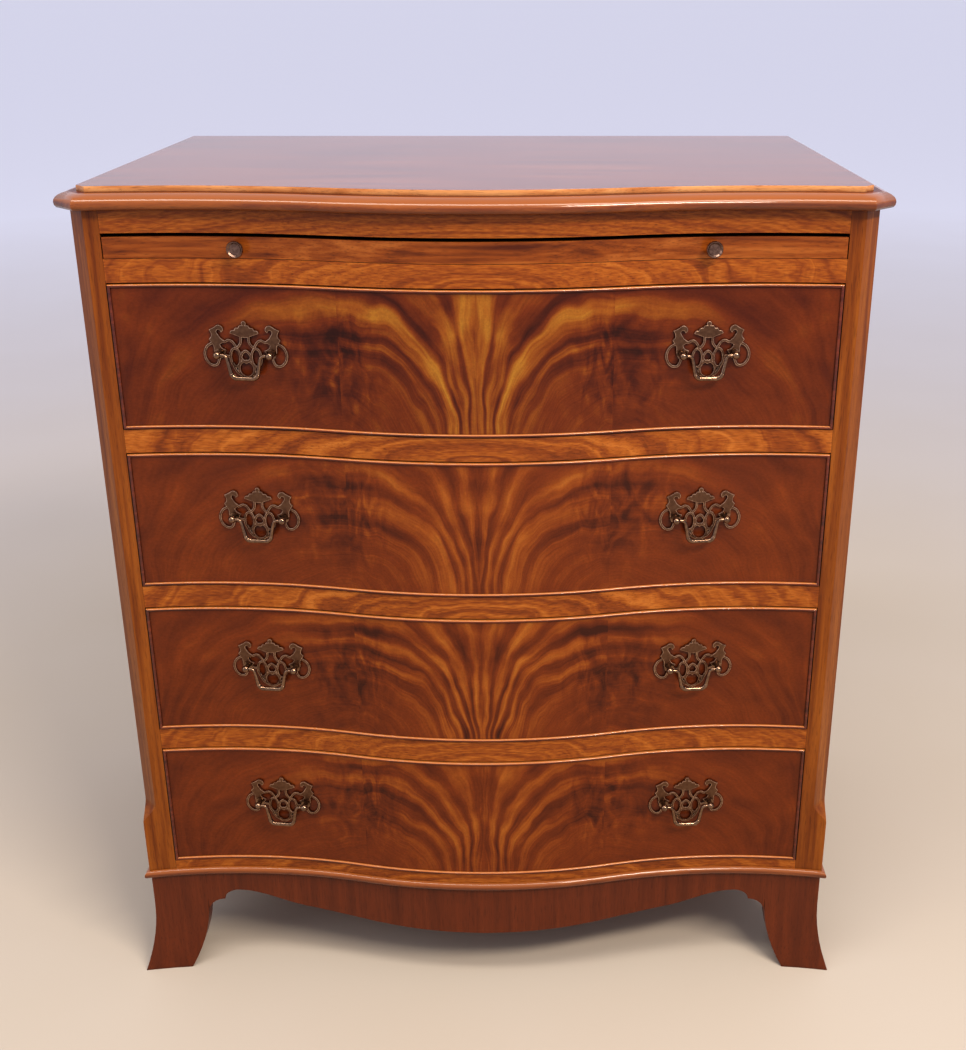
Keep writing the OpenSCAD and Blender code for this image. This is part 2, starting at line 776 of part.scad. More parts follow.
module drawer_bottom(n) {
    half = side_in_x + groove_d - joint_fit;
    near_y = inner_face_y - groove_d + joint_fit;
    color(pine)
        translate([-half, near_y, side_low_z(n) + bottom_up])
            cube([2 * half, drawer_end_y - near_y, drawer_bottom_t]);
}

// Handles

// Smooth curve through a few points, as a list of points
function curve_point(a, b, c, d, t) =
    (2 * b + (c - a) * t + (2 * a - 5 * b + 4 * c - d) * t * t
        + (3 * b - a - 3 * c + d) * t * t * t) / 2;
function curve(p, steps) =
    let (last = len(p) - 1)
    concat([for (i = [0:last - 1]) for (k = [0:steps - 1])
        curve_point(p[max(i - 1, 0)], p[i], p[i + 1], p[min(i + 2, last)], k / steps)], [p[last]]);

// Bar of even width along a curve
module bar(p, w, steps) {
    line = curve(p, steps);
    polygon(concat(moved_out(line, w / 2), reversed(moved_out(line, -w / 2))));
}

// Upright oval ring
module oval(x, z, rx, rz, w, steps) {
    translate([x, z]) difference() {
        polygon([for (i = [0:steps - 1]) let (a = 360 * i / steps) [rx * cos(a), rz * sin(a)]]);
        polygon([for (i = [0:steps - 1]) let (a = 360 * i / steps)
            [(rx - w) * cos(a), (rz - w) * sin(a)]]);
    }
}

// One half of the pierced plate, in its own plane with the hinge line at height 0. It is drawn
// for this half width and scaled to the real one.
drawn_half_w = 41;
bar_w = 2.1;

// Closed outline through smooth curves that meet in points
function chain(curves, steps) =
    [for (c = curves) let (line = curve(c, steps)) each [for (i = [0:len(line) - 2]) line[i]]];

// A leaf rises from the post, with two points on its outer edge and a hook at its top
wing = chain([
    [[-27.5, -4.5], [-30.4, 1], [-30.7, 7], [-34.6, 13.4]],
    [[-34.6, 13.4], [-32.2, 16.4], [-32.4, 19.6], [-34, 22.6]],
    [[-34, 22.6], [-29.6, 24.6], [-25, 27.4], [-21.2, 25.7], [-20.4, 22.4], [-22.4, 20.2]],
    [[-22.4, 20.2], [-23.6, 22.4], [-26, 22.6], [-26.9, 20.4], [-25.2, 17.4], [-23.6, 14.8]],
    [[-23.6, 14.8], [-21.4, 13.2], [-18.6, 11]],
    [[-18.6, 11], [-21.8, 10], [-24.4, 8.4]],
    [[-24.4, 8.4], [-22.6, 5], [-18.4, 3]],
    [[-18.4, 3], [-20.4, 0], [-20.8, -2.6], [-23, -4.5]],
    [[-23, -4.5], [-27.5, -4.5]]], 3);

// Half of the crown, with three scallops up to its middle
crown = chain([
    [[0.5, 15.4], [-3.6, 15.8], [-7.8, 17.4], [-14, 19.6]],
    [[-14, 19.6], [-12.6, 22], [-9.6, 22.4]],
    [[-9.6, 22.4], [-8.4, 24.6], [-5.6, 24.8]],
    [[-5.6, 24.8], [-4.2, 27], [-1.4, 27.2]],
    [[-1.4, 27.2], [0.5, 28]],
    [[0.5, 28], [0.5, 15.4]]], 3);

module plate_half() {
    polygon(wing);
    polygon(crown);
    bar([[-31.5, 10], [-37, 6.5], [-39.9, 0], [-38.6, -7], [-34, -11.6], [-28.5, -11],
        [-25.5, -4]], bar_w, 5);
    bar([[-22.5, 11.4], [-19.4, 11.2], [-16, 12.8], [-12.8, 11.8], [-10.4, 8.8],
        [-8.4, 5.2]], bar_w, 4);
    bar([[-4, 17], [-3.8, 12.5], [-4.9, 9], [-8, 5.4]], bar_w, 4);
    oval(-10.2, -4, 5.8, 10, bar_w, 28);
    bar([[-15, -3], [-18.5, -2.6], [-21.5, -1.5]], bar_w, 3);
    bar([[-13.2, -9.5], [-11.2, -15], [-8.4, -18.9], [-5.8, -20.9]], bar_w, 4);
    bar([[-4.9, -3.2], [-3.6, -6.2], [0.4, -9.2]], bar_w, 3);
    bar([[0.4, 3], [-3, 0.6], [-4.9, -3.4]], bar_w, 3);
}

module plate_outline() {
    scale(plate_half_w / drawn_half_w) {
        plate_half();
        mirror([1, 0]) plate_half();
        translate([0, 29]) circle(r = 2.2, $fn = small_fn);
        oval(0, -15.2, 8.6, 9.1, bar_w, 32);
    }
    for (x = [-post_span / 2, post_span / 2])
        translate([x, 0]) circle(r = collar_r, $fn = round_fn);
}

module handle_plate() {
    translate([0, -plate_off, 0])
        rotate([90, 0, 0])
            difference() {
                linear_extrude(plate_t) plate_outline();
                for (x = [-post_span / 2, post_span / 2])
                    translate([x, 0, -past])
                        cylinder(h = plate_t + 2 * past, r = screw_r + screw_fit,
                            $fn = small_fn);
            }
}

module drawer_handle_plates(n) {
    color(brass) for (side = [-1, 1]) on_front(side, handle_z(n)) handle_plate();
}

// Turned post with a ball end that is bored for the bail, its screw and its nut.
// It stands along its own Z, from the plate out, and its bore opens towards -X.
collar_z = plate_off + plate_t + seat_gap;

// Depth of the drawer front's inner face behind the handle, clear of a nut at x
function nut_depth(side, x) =
    (inner_face_y - front_y(handle_x) - side * x * sin(handle_turn)) / cos(handle_turn)
        + nut_r * tan(handle_turn) + seat_gap;

module post(depth) {
    screw_l = depth + nut_t + screw_past;
    difference() {
        union() {
            translate([0, 0, -screw_l])
                cylinder(h = screw_l + collar_z + collar_t, r = screw_r, $fn = small_fn);
            translate([0, 0, collar_z])
                cylinder(h = collar_t, r = collar_r, $fn = round_fn);
            translate([0, 0, collar_z])
                cylinder(h = hinge_out - collar_z, r = neck_r, $fn = round_fn);
            translate([0, 0, hinge_out]) sphere(r = ball_r, $fn = round_fn);
        }
        translate([-ball_r - past, 0, hinge_out])
            rotate([0, 90, 0])
                cylinder(h = ball_r + past + pivot_past + joint_fit, r = bail_r + pivot_fit,
                    $fn = small_fn);
    }
}

module nut(depth) {
    translate([0, 0, -depth - nut_t])
        difference() {
            cylinder(h = nut_t, r = nut_r, $fn = 6);
            translate([0, 0, -past])
                cylinder(h = nut_t + 2 * past, r = screw_r + seat_gap, $fn = small_fn);
        }
}

module drawer_posts(n) {
    color(brass)
        for (side = [-1, 1]) for (way = [-1, 1]) {
            depth = nut_depth(side, way * post_span / 2);
            on_front(side, handle_z(n))
                translate([way * post_span / 2, 0, 0])
                    rotate([90, 0, 0])
                        mirror([way < 0 ? 1 : 0, 0, 0]) {
                            post(depth);
                            nut(depth);
                        }
        }
}

// Swan-neck bail, flat in the plane of its two pivots: [across, up] from the middle of the
// hinge line
neck_x = post_span / 2 - neck_l;
leg_top = [neck_x - neck_bend_r * sin(bend_turn), -neck_bend_r * (1 - cos(bend_turn))];
grip_z = grip_bend_r - bail_drop;
leg_foot_z = grip_z - grip_bend_r * cos(bend_turn);
leg_run = (leg_top[1] - leg_foot_z) / sin(bend_turn);
grip_x = leg_top[0] - leg_run * cos(bend_turn) - grip_bend_r * sin(bend_turn);

// Bending thins the wire by a trace, and the straight parts lap over the ends of the bends
bend_thin = 0.02;
lap = 0.08;

module bend(r, from) {
    rotate([90, 0, 0])
        rotate([0, 0, from])
            rotate_extrude(angle = bend_turn, $fn = 96)
                translate([r, 0]) circle(r = bail_r - bend_thin, $fn = small_fn);
}

module bail_half() {
    translate([neck_x - lap, 0, 0])
        rotate([0, 90, 0])
            cylinder(h = lap + neck_l + pivot_past, r = bail_r, $fn = small_fn);
    translate([neck_x, 0, -neck_bend_r]) bend(neck_bend_r, 90);
    translate([leg_top[0], 0, leg_top[1]])
        rotate([0, 270 - bend_turn, 0])
            translate([0, 0, -lap])
                cylinder(h = leg_run + 2 * lap, r = bail_r, $fn = small_fn);
    translate([grip_x, 0, grip_z]) bend(grip_bend_r, -90);
}

module bail(side, n) {
    color(brass)
        on_front(side, handle_z(n))
            translate([0, -hinge_out, 0]) {
                both_sides() bail_half();
                translate([-grip_x - lap, 0, -bail_drop])
                    rotate([0, 90, 0])
                        cylinder(h = 2 * (grip_x + lap), r = bail_r, $fn = small_fn);
            }
}

// What is drawn

top_board();
top_moulding();
mirror([1, 0, 0]) side_panel();  // side_left
side_panel();  // side_right
mirror([1, 0, 0]) corner_post();  // corner_post_left
corner_post();  // corner_post_right
back_panel();
bottom_board();
top_rail();
slide_rail();
drawer_rails();
drawer_runners();
base_moulding();
front_apron();
side_aprons();
front_feet();
back_feet();
slide_board();
slide_front();
slide_knobs();
for (n = [1:drawer_count]) {
    name = str("drawer_", n, "_");
    drawer_front(n);
    drawer_cockbead(n);
    mirror([1, 0, 0]) drawer_side(n);
    drawer_side(n);
    drawer_back(n);
    drawer_bottom(n);
    drawer_handle_plates(n);
    drawer_posts(n);
    bail(-1, n);
    bail(1, n);
}
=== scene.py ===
# %% [markdown]
# # A serpentine chest of drawers
# The construction model gives every board, drawer and fitting its true size and place.
# This lesson gives them their finish: polished mahogany with flame veneer, dark brass, light
# and a camera. The model could be finished by changing it directly, but then the drawers
# would no longer run. So each piece here is laid over the model and moves with it.

import math

import bpy
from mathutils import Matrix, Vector


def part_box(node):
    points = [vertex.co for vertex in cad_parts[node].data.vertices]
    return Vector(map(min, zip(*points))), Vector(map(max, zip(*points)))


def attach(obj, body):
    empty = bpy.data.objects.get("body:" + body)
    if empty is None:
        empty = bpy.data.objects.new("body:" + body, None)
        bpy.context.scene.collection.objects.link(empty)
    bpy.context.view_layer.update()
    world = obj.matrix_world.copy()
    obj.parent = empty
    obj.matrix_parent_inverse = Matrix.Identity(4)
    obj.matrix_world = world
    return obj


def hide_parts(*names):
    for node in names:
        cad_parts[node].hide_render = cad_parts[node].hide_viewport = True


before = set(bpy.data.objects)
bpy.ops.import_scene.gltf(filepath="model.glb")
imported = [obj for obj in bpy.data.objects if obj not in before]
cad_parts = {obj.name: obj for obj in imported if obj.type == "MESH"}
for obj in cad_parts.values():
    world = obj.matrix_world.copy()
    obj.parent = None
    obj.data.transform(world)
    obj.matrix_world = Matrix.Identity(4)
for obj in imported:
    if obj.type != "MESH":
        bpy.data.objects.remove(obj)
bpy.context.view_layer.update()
MM = 0.001
DRAWERS = (1, 2, 3, 4)

# %% [markdown]
# ## The camera
# A camera stands a little above the chest and looks down at it, as a person would.
# It could be placed by eye. Here its place was worked out from edges that are known to be
# level and plumb, so its height, tilt and lens follow from the picture. The small shift
# slides the frame sideways and keeps upright edges from leaning more to one side. It is
# counted in the longer side of the frame, here its height.

# %% Place the camera
IMAGE_H = 1050
SHIFT_PIXELS = 54
LENS = 45.5
CAMERA_PLACE = (0.0573, -1.450, 1.0394)
CAMERA_TILT = math.radians(68.18)

camera_data = bpy.data.cameras.new("camera")
camera_data.sensor_width = 36
camera_data.lens = LENS
camera_data.shift_x = -SHIFT_PIXELS / IMAGE_H
camera_data.clip_start = 0.05
camera = bpy.data.objects.new("camera", camera_data)
bpy.context.collection.objects.link(camera)
camera.location = CAMERA_PLACE
camera.rotation_euler = (CAMERA_TILT, 0, 0)
bpy.context.scene.camera = camera
print("camera stands", round(camera.location.z, 3), "m above the floor")

# %% [markdown]
# ## Nodes and colours
# A material is a small tree of nodes. One helper adds any node: its own settings are given by
# name, its inputs take a number, a colour or another node's output, and a colour ramp takes
# its stops. Colours are picked as sRGB hex values, the way a paint chart shows them. A shader
# counts in linear light, so one function turns them over. A Mix node has a pair of inputs
# called A and B for each kind of data, so these are picked by their number.

# %% Helpers for materials
VALUE_A, VALUE_B = 2, 3
COLOUR_A, COLOUR_B = 6, 7
COLOUR_RESULT = 2


def linear(hex_value):
    """The linear colour of an sRGB hex value."""
    parts = [int(hex_value[i:i + 2], 16) / 255 for i in (1, 3, 5)]
    return [p / 12.92 if p <= 0.04045 else ((p + 0.055) / 1.055) ** 2.4 for p in parts] + [1.0]


def shades(stops):
    """The (position, hex colour) stops of a ramp in linear light."""
    return [(position, linear(colour)) for position, colour in stops]


def add(tree, kind, inputs=None, stops=(), **settings):
    """Adds a node. inputs gives its sockets values or other outputs, stops fill a ramp."""
    node = tree.nodes.new("ShaderNode" + kind)
    for name, value in settings.items():
        setattr(node, name, value)
    for key, value in (inputs or {}).items():
        if isinstance(value, bpy.types.NodeSocket):
            tree.links.new(value, node.inputs[key])
        else:
            node.inputs[key].default_value = value
    elements = node.color_ramp.elements if stops else ()
    while len(elements) < len(stops):
        elements.new(0.5)
    for element, (position, colour) in zip(elements, stops):
        element.position = position
        element.color = colour
    return node


def new_material(name):
    """A material with an empty tree, its shader and its output."""
    material = bpy.data.materials.new(name)
    material.use_nodes = True
    tree = material.node_tree
    tree.nodes.clear()
    shader = add(tree, "BsdfPrincipled")
    add(tree, "OutputMaterial", {"Surface": shader.outputs["BSDF"]})
    return material, tree, shader


print("a mid grey #808080 is", round(linear("#808080")[0], 3), "in linear light")

# %% [markdown]
# ## French polish
# The chest is polished with many thin coats of shellac. The film is clear and has an IOR near
# 1.5. A gloss could be given to the wood itself, but then its highlights would be blurred by
# the grain. A coat on the shader lies over the wood as the film does: the wood under it stays
# dull, and the film gives bright lines on every moulding. Years of dusting left it a little
# rough.

# %% Polish
POLISH_IOR = 1.5
POLISH_ROUGHNESS = 0.13
FACE_ROUGHNESS = 0.38
PORE_ROUGHNESS = 0.55
BARE_GLOSS = 0.08
PORE_DEPTH = 0.05 * MM


def polish(tree, shader, pore, weight, film=POLISH_ROUGHNESS):
    """Shellac over wood. pore is 1 in the pores, weight is the share of the film that is left."""
    dull = add(tree, "MapRange", {
        "Value": pore, "To Min": FACE_ROUGHNESS, "To Max": PORE_ROUGHNESS})
    tree.links.new(dull.outputs["Result"], shader.inputs["Roughness"])
    dent = add(tree, "Bump", {"Strength": 0.12, "Distance": PORE_DEPTH, "Height": pore},
               invert=True)
    tree.links.new(dent.outputs["Normal"], shader.inputs["Normal"])
    shader.inputs["IOR"].default_value = POLISH_IOR
    shader.inputs["Specular IOR Level"].default_value = BARE_GLOSS
    shader.inputs["Coat Weight"].default_value = weight
    shader.inputs["Coat Roughness"].default_value = film
    shader.inputs["Coat IOR"].default_value = POLISH_IOR


print("polish roughness:", POLISH_ROUGHNESS)

# %% [markdown]
# ## Painted shade and wax in the corners
# Little light reaches the inner corners, and dark wax and dust gather there too, out of a
# duster's reach. Both set each board apart from the next, so the corners get painted shade:
# the colour is darkened there. The dark lines could be painted on each piece by hand. An
# ambient occlusion node finds them instead: it looks round every point and tells how much of
# the nearest few millimetres is open air.

# %% Dark corners
CORNER = 6 * MM
# The dark that corners are painted towards: shade, with old dirt and polish in it
CORNER_SHADE_AND_WAX = "#1a0b05"
OPEN_AIR = 0.85
SHUT_IN = 0.30
SHADE_AND_WAX_AMOUNT = 0.80


def paint_corner_shade_and_wax(tree, colour):
    """Darkens a colour in the corners: painted shade, and the waxed dust there."""
    air = add(tree, "AmbientOcclusion", {"Distance": CORNER}, samples=6).outputs["AO"]
    shade_and_wax = add(tree, "MapRange", {
        "Value": air, "From Min": SHUT_IN, "From Max": OPEN_AIR, "To Min": SHADE_AND_WAX_AMOUNT,
        "To Max": 0.0,
    }).outputs["Result"]
    mixed = add(tree, "Mix", {"Factor": shade_and_wax, COLOUR_A: colour, COLOUR_B: linear(CORNER_SHADE_AND_WAX)},
                data_type="RGBA")
    return mixed.outputs[COLOUR_RESULT]


print("wax reaches", round(CORNER / MM), "mm out of a corner")

# %% [markdown]
# ## Pores
# Sawn mahogany has short dark pores along the grain. Each figure in wood is a noise that is
# stretched along one axis, so a helper counts places in units of the figure's own length and
# width. Real pores are near 0.3 mm wide, and these are drawn twice as coarse so that they
# show.

# %% Stretched figures and pores
ALONG_X, ALONG_Z = 0, 2
PORE = (14 * MM, 0.7 * MM)
PORE_COLOUR = "#2c1006"
PORE_AMOUNT = 0.42
PORE_EDGE = 0.56
PORE_CORE = 0.72


def stretched(tree, size, along):
    """Object coordinates in units of one figure: size is its length and width in metres."""
    length, width = size
    scale = [1 / length if axis == along else 1 / width for axis in range(3)]
    return add(tree, "Mapping", {
        "Vector": add(tree, "TexCoord").outputs["Object"], "Scale": scale,
    }).outputs["Vector"]


def pores_along(tree, along, colour):
    """Darkens a colour in its pores, and gives the pores too."""
    pores = add(tree, "TexNoise", {
        "Vector": stretched(tree, PORE, along), "Scale": 1.0, "Detail": 1.0,
    })
    pore = add(tree, "MapRange", {
        "Value": pores.outputs["Fac"], "From Min": PORE_EDGE, "From Max": PORE_CORE,
    }).outputs["Result"]
    amount = add(tree, "Math", {0: pore, 1: PORE_AMOUNT}, operation="MULTIPLY").outputs[0]
    mixed = add(tree, "Mix", {
        "Factor": amount, COLOUR_A: colour, COLOUR_B: linear(PORE_COLOUR),
    }, data_type="RGBA")
    return mixed.outputs[COLOUR_RESULT], pore


print("pores, length and width in mm:", [round(size / MM, 1) for size in PORE])

# %% [markdown]
# ## Solid mahogany
# Broad soft bands run along a mahogany board, about 12 mm wide and 250 mm long, with growth
# rings 4 mm wide in them and the pores over both. Posts, beads, sides, slide and top are all
# cut from such boards. They could share one material, but each was stained and rubbed in its
# own way. So each has its own colours from dark to light, its own place in the noise and its
# own film of polish.

# %% Mahogany with straight grain
BAND = (250 * MM, 12 * MM)
RING = (160 * MM, 4 * MM)
RING_SHARE = 0.38


def straight_mahogany(name, along, stops, seed, weight, film=POLISH_ROUGHNESS):
    """Mahogany with its grain along one axis. seed picks its place in the noise."""
    material, tree, shader = new_material(name)
    band = add(tree, "TexNoise", {
        "Vector": stretched(tree, BAND, along), "W": seed, "Scale": 1.0, "Detail": 3.0,
        "Roughness": 0.55, "Distortion": 0.4,
    }, noise_dimensions="4D")
    ring = add(tree, "TexNoise", {
        "Vector": stretched(tree, RING, along), "W": seed + 3, "Scale": 1.0, "Detail": 2.0,
    }, noise_dimensions="4D")
    tone = add(tree, "Mix", {
        "Factor": RING_SHARE, VALUE_A: band.outputs["Fac"], VALUE_B: ring.outputs["Fac"],
    }, data_type="FLOAT")
    plain = add(tree, "ValToRGB", {"Fac": tone.outputs[0]}, stops=shades(stops))
    colour, pore = pores_along(tree, along, plain.outputs["Color"])
    tree.links.new(paint_corner_shade_and_wax(tree, colour), shader.inputs["Base Color"])
    polish(tree, shader, pore, weight, film)
    return material


POST_STOPS = [(0.32, "#592709"), (0.45, "#6f380c"), (0.55, "#814612"), (0.68, "#93571c")]
BEAD_STOPS = [(0.34, "#4f230b"), (0.5, "#6b330e"), (0.66, "#854714")]
COCKBEAD_STOPS = [(0.36, "#3c1407"), (0.5, "#561f0a"), (0.62, "#6b2c0f")]
FILLET_STOPS = [(0.36, "#ad682f"), (0.5, "#c58046"), (0.62, "#d99b60")]
PLINTH_STOPS = [(0.3, "#4b1e0a"), (0.5, "#5a260d"), (0.7, "#672e11")]
SIDE_STOPS = [(0.34, "#4a1e0b"), (0.45, "#692f10"), (0.55, "#804014"), (0.66, "#945220")]
SLIDE_STOPS = [(0.36, "#4c200b"), (0.5, "#7c3f12"), (0.62, "#955521")]
TOP_STOPS = [(0.36, "#54220f"), (0.5, "#753517"), (0.64, "#8f4a20")]
WOODS = {
    "post": ("mahogany_posts_polished", ALONG_Z, POST_STOPS, 2.0, 0.34),
    "bead": ("mahogany_beads_polished", ALONG_X, BEAD_STOPS, 6.0, 1.0, 0.12),
    "cockbead": ("mahogany_cockbeads_polished", ALONG_X, COCKBEAD_STOPS, 8.0, 1.0, 0.15),
    # Painted light: the fillet is a lighter golden, as if lit
    "fillet": ("mahogany_fillet_golden_lit", ALONG_X, FILLET_STOPS, 9.5, 0.8, 0.25),
    "plinth": ("mahogany_plinth_polished", ALONG_Z, PLINTH_STOPS, 4.0, 0.5),
    "side": ("mahogany_sides_polished", ALONG_Z, SIDE_STOPS, 3.0, 0.6),
    "slide": ("mahogany_slide_polished", ALONG_X, SLIDE_STOPS, 7.0, 0.35),
    "top": ("mahogany_top_polished", ALONG_X, TOP_STOPS, 5.0, 1.0),
    # Painted shade: the ledge is dark, with old dirt in it
    "ledge": ("mahogany_ledge_shade_and_wax", ALONG_X, COCKBEAD_STOPS, 9.0, 0.3),
}
wood = {finish: straight_mahogany(*facts) for finish, facts in WOODS.items()}
print("straight-grained finishes:", len(wood))

# %% [markdown]
# ## Painted light on the crests
# The crest of every moulding is painted golden where it faces up: a painted highlight for the
# light from above, while the faces that look down keep the dark wood and read as shade. The
# golden line could be a strip of its own, but it has no edge on the real chest. So the colour
# turns golden the more the surface faces up, and the line fades out by itself.

# %% Golden crests
def paint_light_on_crests(material, golden, low, high, amount):
    """Paints a golden highlight where a moulding faces up, from a low to a high upward share."""
    tree = material.node_tree
    shader = next(node for node in tree.nodes if node.type == "BSDF_PRINCIPLED")
    under = shader.inputs["Base Color"].links[0].from_socket
    facing = add(tree, "SeparateXYZ", {0: add(tree, "NewGeometry").outputs["Normal"]})
    lit_share = add(tree, "MapRange", {
        "Value": facing.outputs["Z"], "From Min": low, "From Max": high, "To Min": 0.0,
        "To Max": amount,
    }, interpolation_type="SMOOTHSTEP").outputs["Result"]
    mixed = add(tree, "Mix", {"Factor": lit_share, COLOUR_A: under, COLOUR_B: linear(golden)},
                data_type="RGBA")
    tree.links.new(mixed.outputs[COLOUR_RESULT], shader.inputs["Base Color"])


# Painted highlights on the nose, the base moulding and the cockbeads
paint_light_on_crests(wood["bead"], "#8f4f17", low=0.0, high=0.6, amount=0.8)
paint_light_on_crests(wood["cockbead"], "#b06c34", low=0.1, high=0.5, amount=0.9)
print("crests rubbed on the beads and the cockbeads")

# %% [markdown]
# ## Ringed rails
# The rails are faced with strips cut from one board, and each strip shows the same kind of
# figure. Every strip could have a material of its own. But the rails stand at even steps, so
# one rule folds their heights onto one strip and counts which one it is.

# %% Place on a strip
RAIL_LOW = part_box("drawer_rails")[0].z / MM
RAIL_PITCH = (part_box("drawer_1_front")[0].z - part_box("drawer_2_front")[0].z) / MM


def rail_place(tree):
    """A point in mm: whole, its X, its height over the strip's foot, and the strip's number."""
    place = add(tree, "Mapping", {
        "Vector": add(tree, "TexCoord").outputs["Object"], "Scale": [1 / MM] * 3,
        "Location": (0, 0, -RAIL_LOW),
    }).outputs["Vector"]
    split = add(tree, "SeparateXYZ", {0: place})
    above = add(tree, "Math", {0: split.outputs["Z"], 1: RAIL_PITCH},
                operation="FLOORED_MODULO").outputs[0]
    strip = add(tree, "Math", {0: split.outputs["Z"], 1: RAIL_PITCH}, operation="DIVIDE")
    strip = add(tree, "Math", {0: strip.outputs[0]}, operation="FLOOR").outputs[0]
    return place, split.outputs["X"], above, strip


print("rails repeat every", round(RAIL_PITCH, 1), "mm")

# %% [markdown]
# ## Rings
# The board was cut near the heart of the log. Its rings cross a strip as long flat arches in
# the middle, and stand almost upright at the ends. They could be painted, but a distance is
# enough: measured from a point under the middle of each strip, with the height counted five
# times, it gives such rings. They are about 21 mm wide. A slow sway keeps them from looking
# drawn with a compass, and a slanting ripple breaks them up.

# %% Ringed mahogany
RING_W = 21
RING_FLAT = 5
SWAY_LENGTH = 38
SWAY_REACH = 90
STRIP_STEP = 3.3
RIPPLE = (9, 9, 1.6)
RIPPLE_TURN = math.radians(25)
RIPPLE_SHARE = 0.34


def ringed_mahogany(name, stops, seed, weight):
    """Mahogany cut across its rings. Each strip comes from another place in the log."""
    material, tree, shader = new_material(name)
    place, x, above, strip = rail_place(tree)
    sway = add(tree, "TexNoise", {
        "Vector": place, "W": seed, "Scale": 1 / SWAY_LENGTH, "Detail": 2.0, "Roughness": 0.5,
    }, noise_dimensions="4D").outputs["Fac"]
    shift = add(tree, "Math", {0: sway, 1: SWAY_REACH, 2: x},
                operation="MULTIPLY_ADD").outputs[0]
    aside = add(tree, "Math", {0: shift, 1: SWAY_REACH / 2}, operation="SUBTRACT").outputs[0]
    tall = add(tree, "Math", {0: above, 1: RING_FLAT}, operation="MULTIPLY").outputs[0]
    ring = add(tree, "VectorMath", {
        0: add(tree, "CombineXYZ", {0: aside, 2: tall}).outputs[0]}, operation="LENGTH")
    line = add(tree, "CombineXYZ", {0: ring.outputs["Value"], 1: strip}).outputs[0]
    broad = add(tree, "TexNoise", {
        "Vector": add(tree, "VectorMath", {0: line, 1: (1 / RING_W, STRIP_STEP, 0)},
                      operation="MULTIPLY").outputs[0],
        "Scale": 1.0, "Detail": 3.0, "Roughness": 0.55,
    }).outputs["Fac"]
    ripple = add(tree, "TexNoise", {
        "Vector": add(tree, "Mapping", {
            "Vector": place, "Rotation": (0, RIPPLE_TURN, 0),
            "Scale": [1 / size for size in RIPPLE]}).outputs["Vector"],
        "Scale": 1.0, "Detail": 3.0,
    }).outputs["Fac"]
    tone = add(tree, "Mix", {"Factor": RIPPLE_SHARE, VALUE_A: broad, VALUE_B: ripple},
               data_type="FLOAT").outputs[0]
    plain = add(tree, "ValToRGB", {"Fac": tone}, stops=shades(stops)).outputs["Color"]
    colour, pore = pores_along(tree, ALONG_X, plain)
    tree.links.new(paint_corner_shade_and_wax(tree, colour), shader.inputs["Base Color"])
    polish(tree, shader, pore, weight)
    return material


RAIL_STOPS = [(0.34, "#66300f"), (0.46, "#7f4013"), (0.54, "#925017"), (0.67, "#aa6526")]
wood["rail"] = ringed_mahogany("mahogany_ringed_polished", RAIL_STOPS, seed=1.0, weight=0.35)
print("rings are", RING_W, "mm wide")

# %% [markdown]
# ## Flame veneer: the leaves
# The drawer fronts are faced with leaves cut from the crotch of a tree, where a branch parts
# from the trunk. Two leaves are opened like a book at the middle of each drawer. The next leaf
# on each side is wider and turned over again, so that two dark knots meet at each joint.
# Four pieces of veneer could be cut out and textured one by one. It is enough to fold the
# coordinates in the same way, and then one rule draws all four leaves.

# %% Fold the coordinates
LEAF_W = 130
OUTER_START = 4
DRAWER_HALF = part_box("drawer_1_front")[1].x / MM


def leaf_place(tree, low_z):
    """A point on its leaf in mm, its distance from the middle, and the leaf's number."""
    place = add(tree, "Mapping", {
        "Vector": add(tree, "TexCoord").outputs["Object"], "Scale": [1 / MM] * 3,
        "Location": (0, 0, -low_z / MM),
    }).outputs["Vector"]
    split = add(tree, "SeparateXYZ", {0: place})
    across = add(tree, "Math", {0: split.outputs["X"]}, operation="ABSOLUTE").outputs[0]
    outer = add(tree, "Math", {0: across, 1: LEAF_W}, operation="GREATER_THAN").outputs[0]
    # The outer leaf is read back from the drawer's end
    turned = add(tree, "MapRange", {
        "Value": across, "From Min": DRAWER_HALF, "From Max": LEAF_W, "To Min": OUTER_START,
        "To Max": LEAF_W,
    }).outputs["Result"]
    on_leaf = add(tree, "Mix", {"Factor": outer, VALUE_A: across, VALUE_B: turned},
                  data_type="FLOAT").outputs[0]
    left = add(tree, "Math", {0: split.outputs["X"], 1: 0.0}, operation="LESS_THAN").outputs[0]
    leaf = add(tree, "Math", {0: outer, 1: 2.0, 2: left}, operation="MULTIPLY_ADD").outputs[0]
    flat = add(tree, "CombineXYZ", {0: on_leaf, 1: leaf, 2: split.outputs["Z"]}).outputs[0]
    return flat, across, leaf


print("leaves meet", LEAF_W, "mm from the middle; a front is", round(2 * DRAWER_HALF), "mm wide")

# %% [markdown]
# ## Flame veneer: the ribs
# The ribs of the figure rise from the foot of the middle joint and arch outwards like a
# fountain. They could be painted, but a rule is enough. Rib number r starts r / MID_FAN mm
# from the joint. It moves out with the square of its height, and a little more the further
# out it is. Turned round, the rule says on which rib each point lies:
#
#     rib = MID_FAN * x / ((1 + (z / FAN_HEIGHT) ** 2) * (1 + x * z / SPREAD))
#
# A noise that reads the rib's number then follows the flame by itself. Past the shoulder the
# ribs drop again, and a slow sway makes the two halves of a drawer a little unlike.

# %% Which rib each point lies on
MID_FAN = 1.68
FAN_HEIGHT = 85
SPREAD = 19000
LEAST_SPREAD = 0.35
SHOULDER = 92
SHOULDER_DROP = 0.006
SWAY_SCALE = (1 / 45, 0.12, 1 / 75)
SWAY = (24, 0, 40)


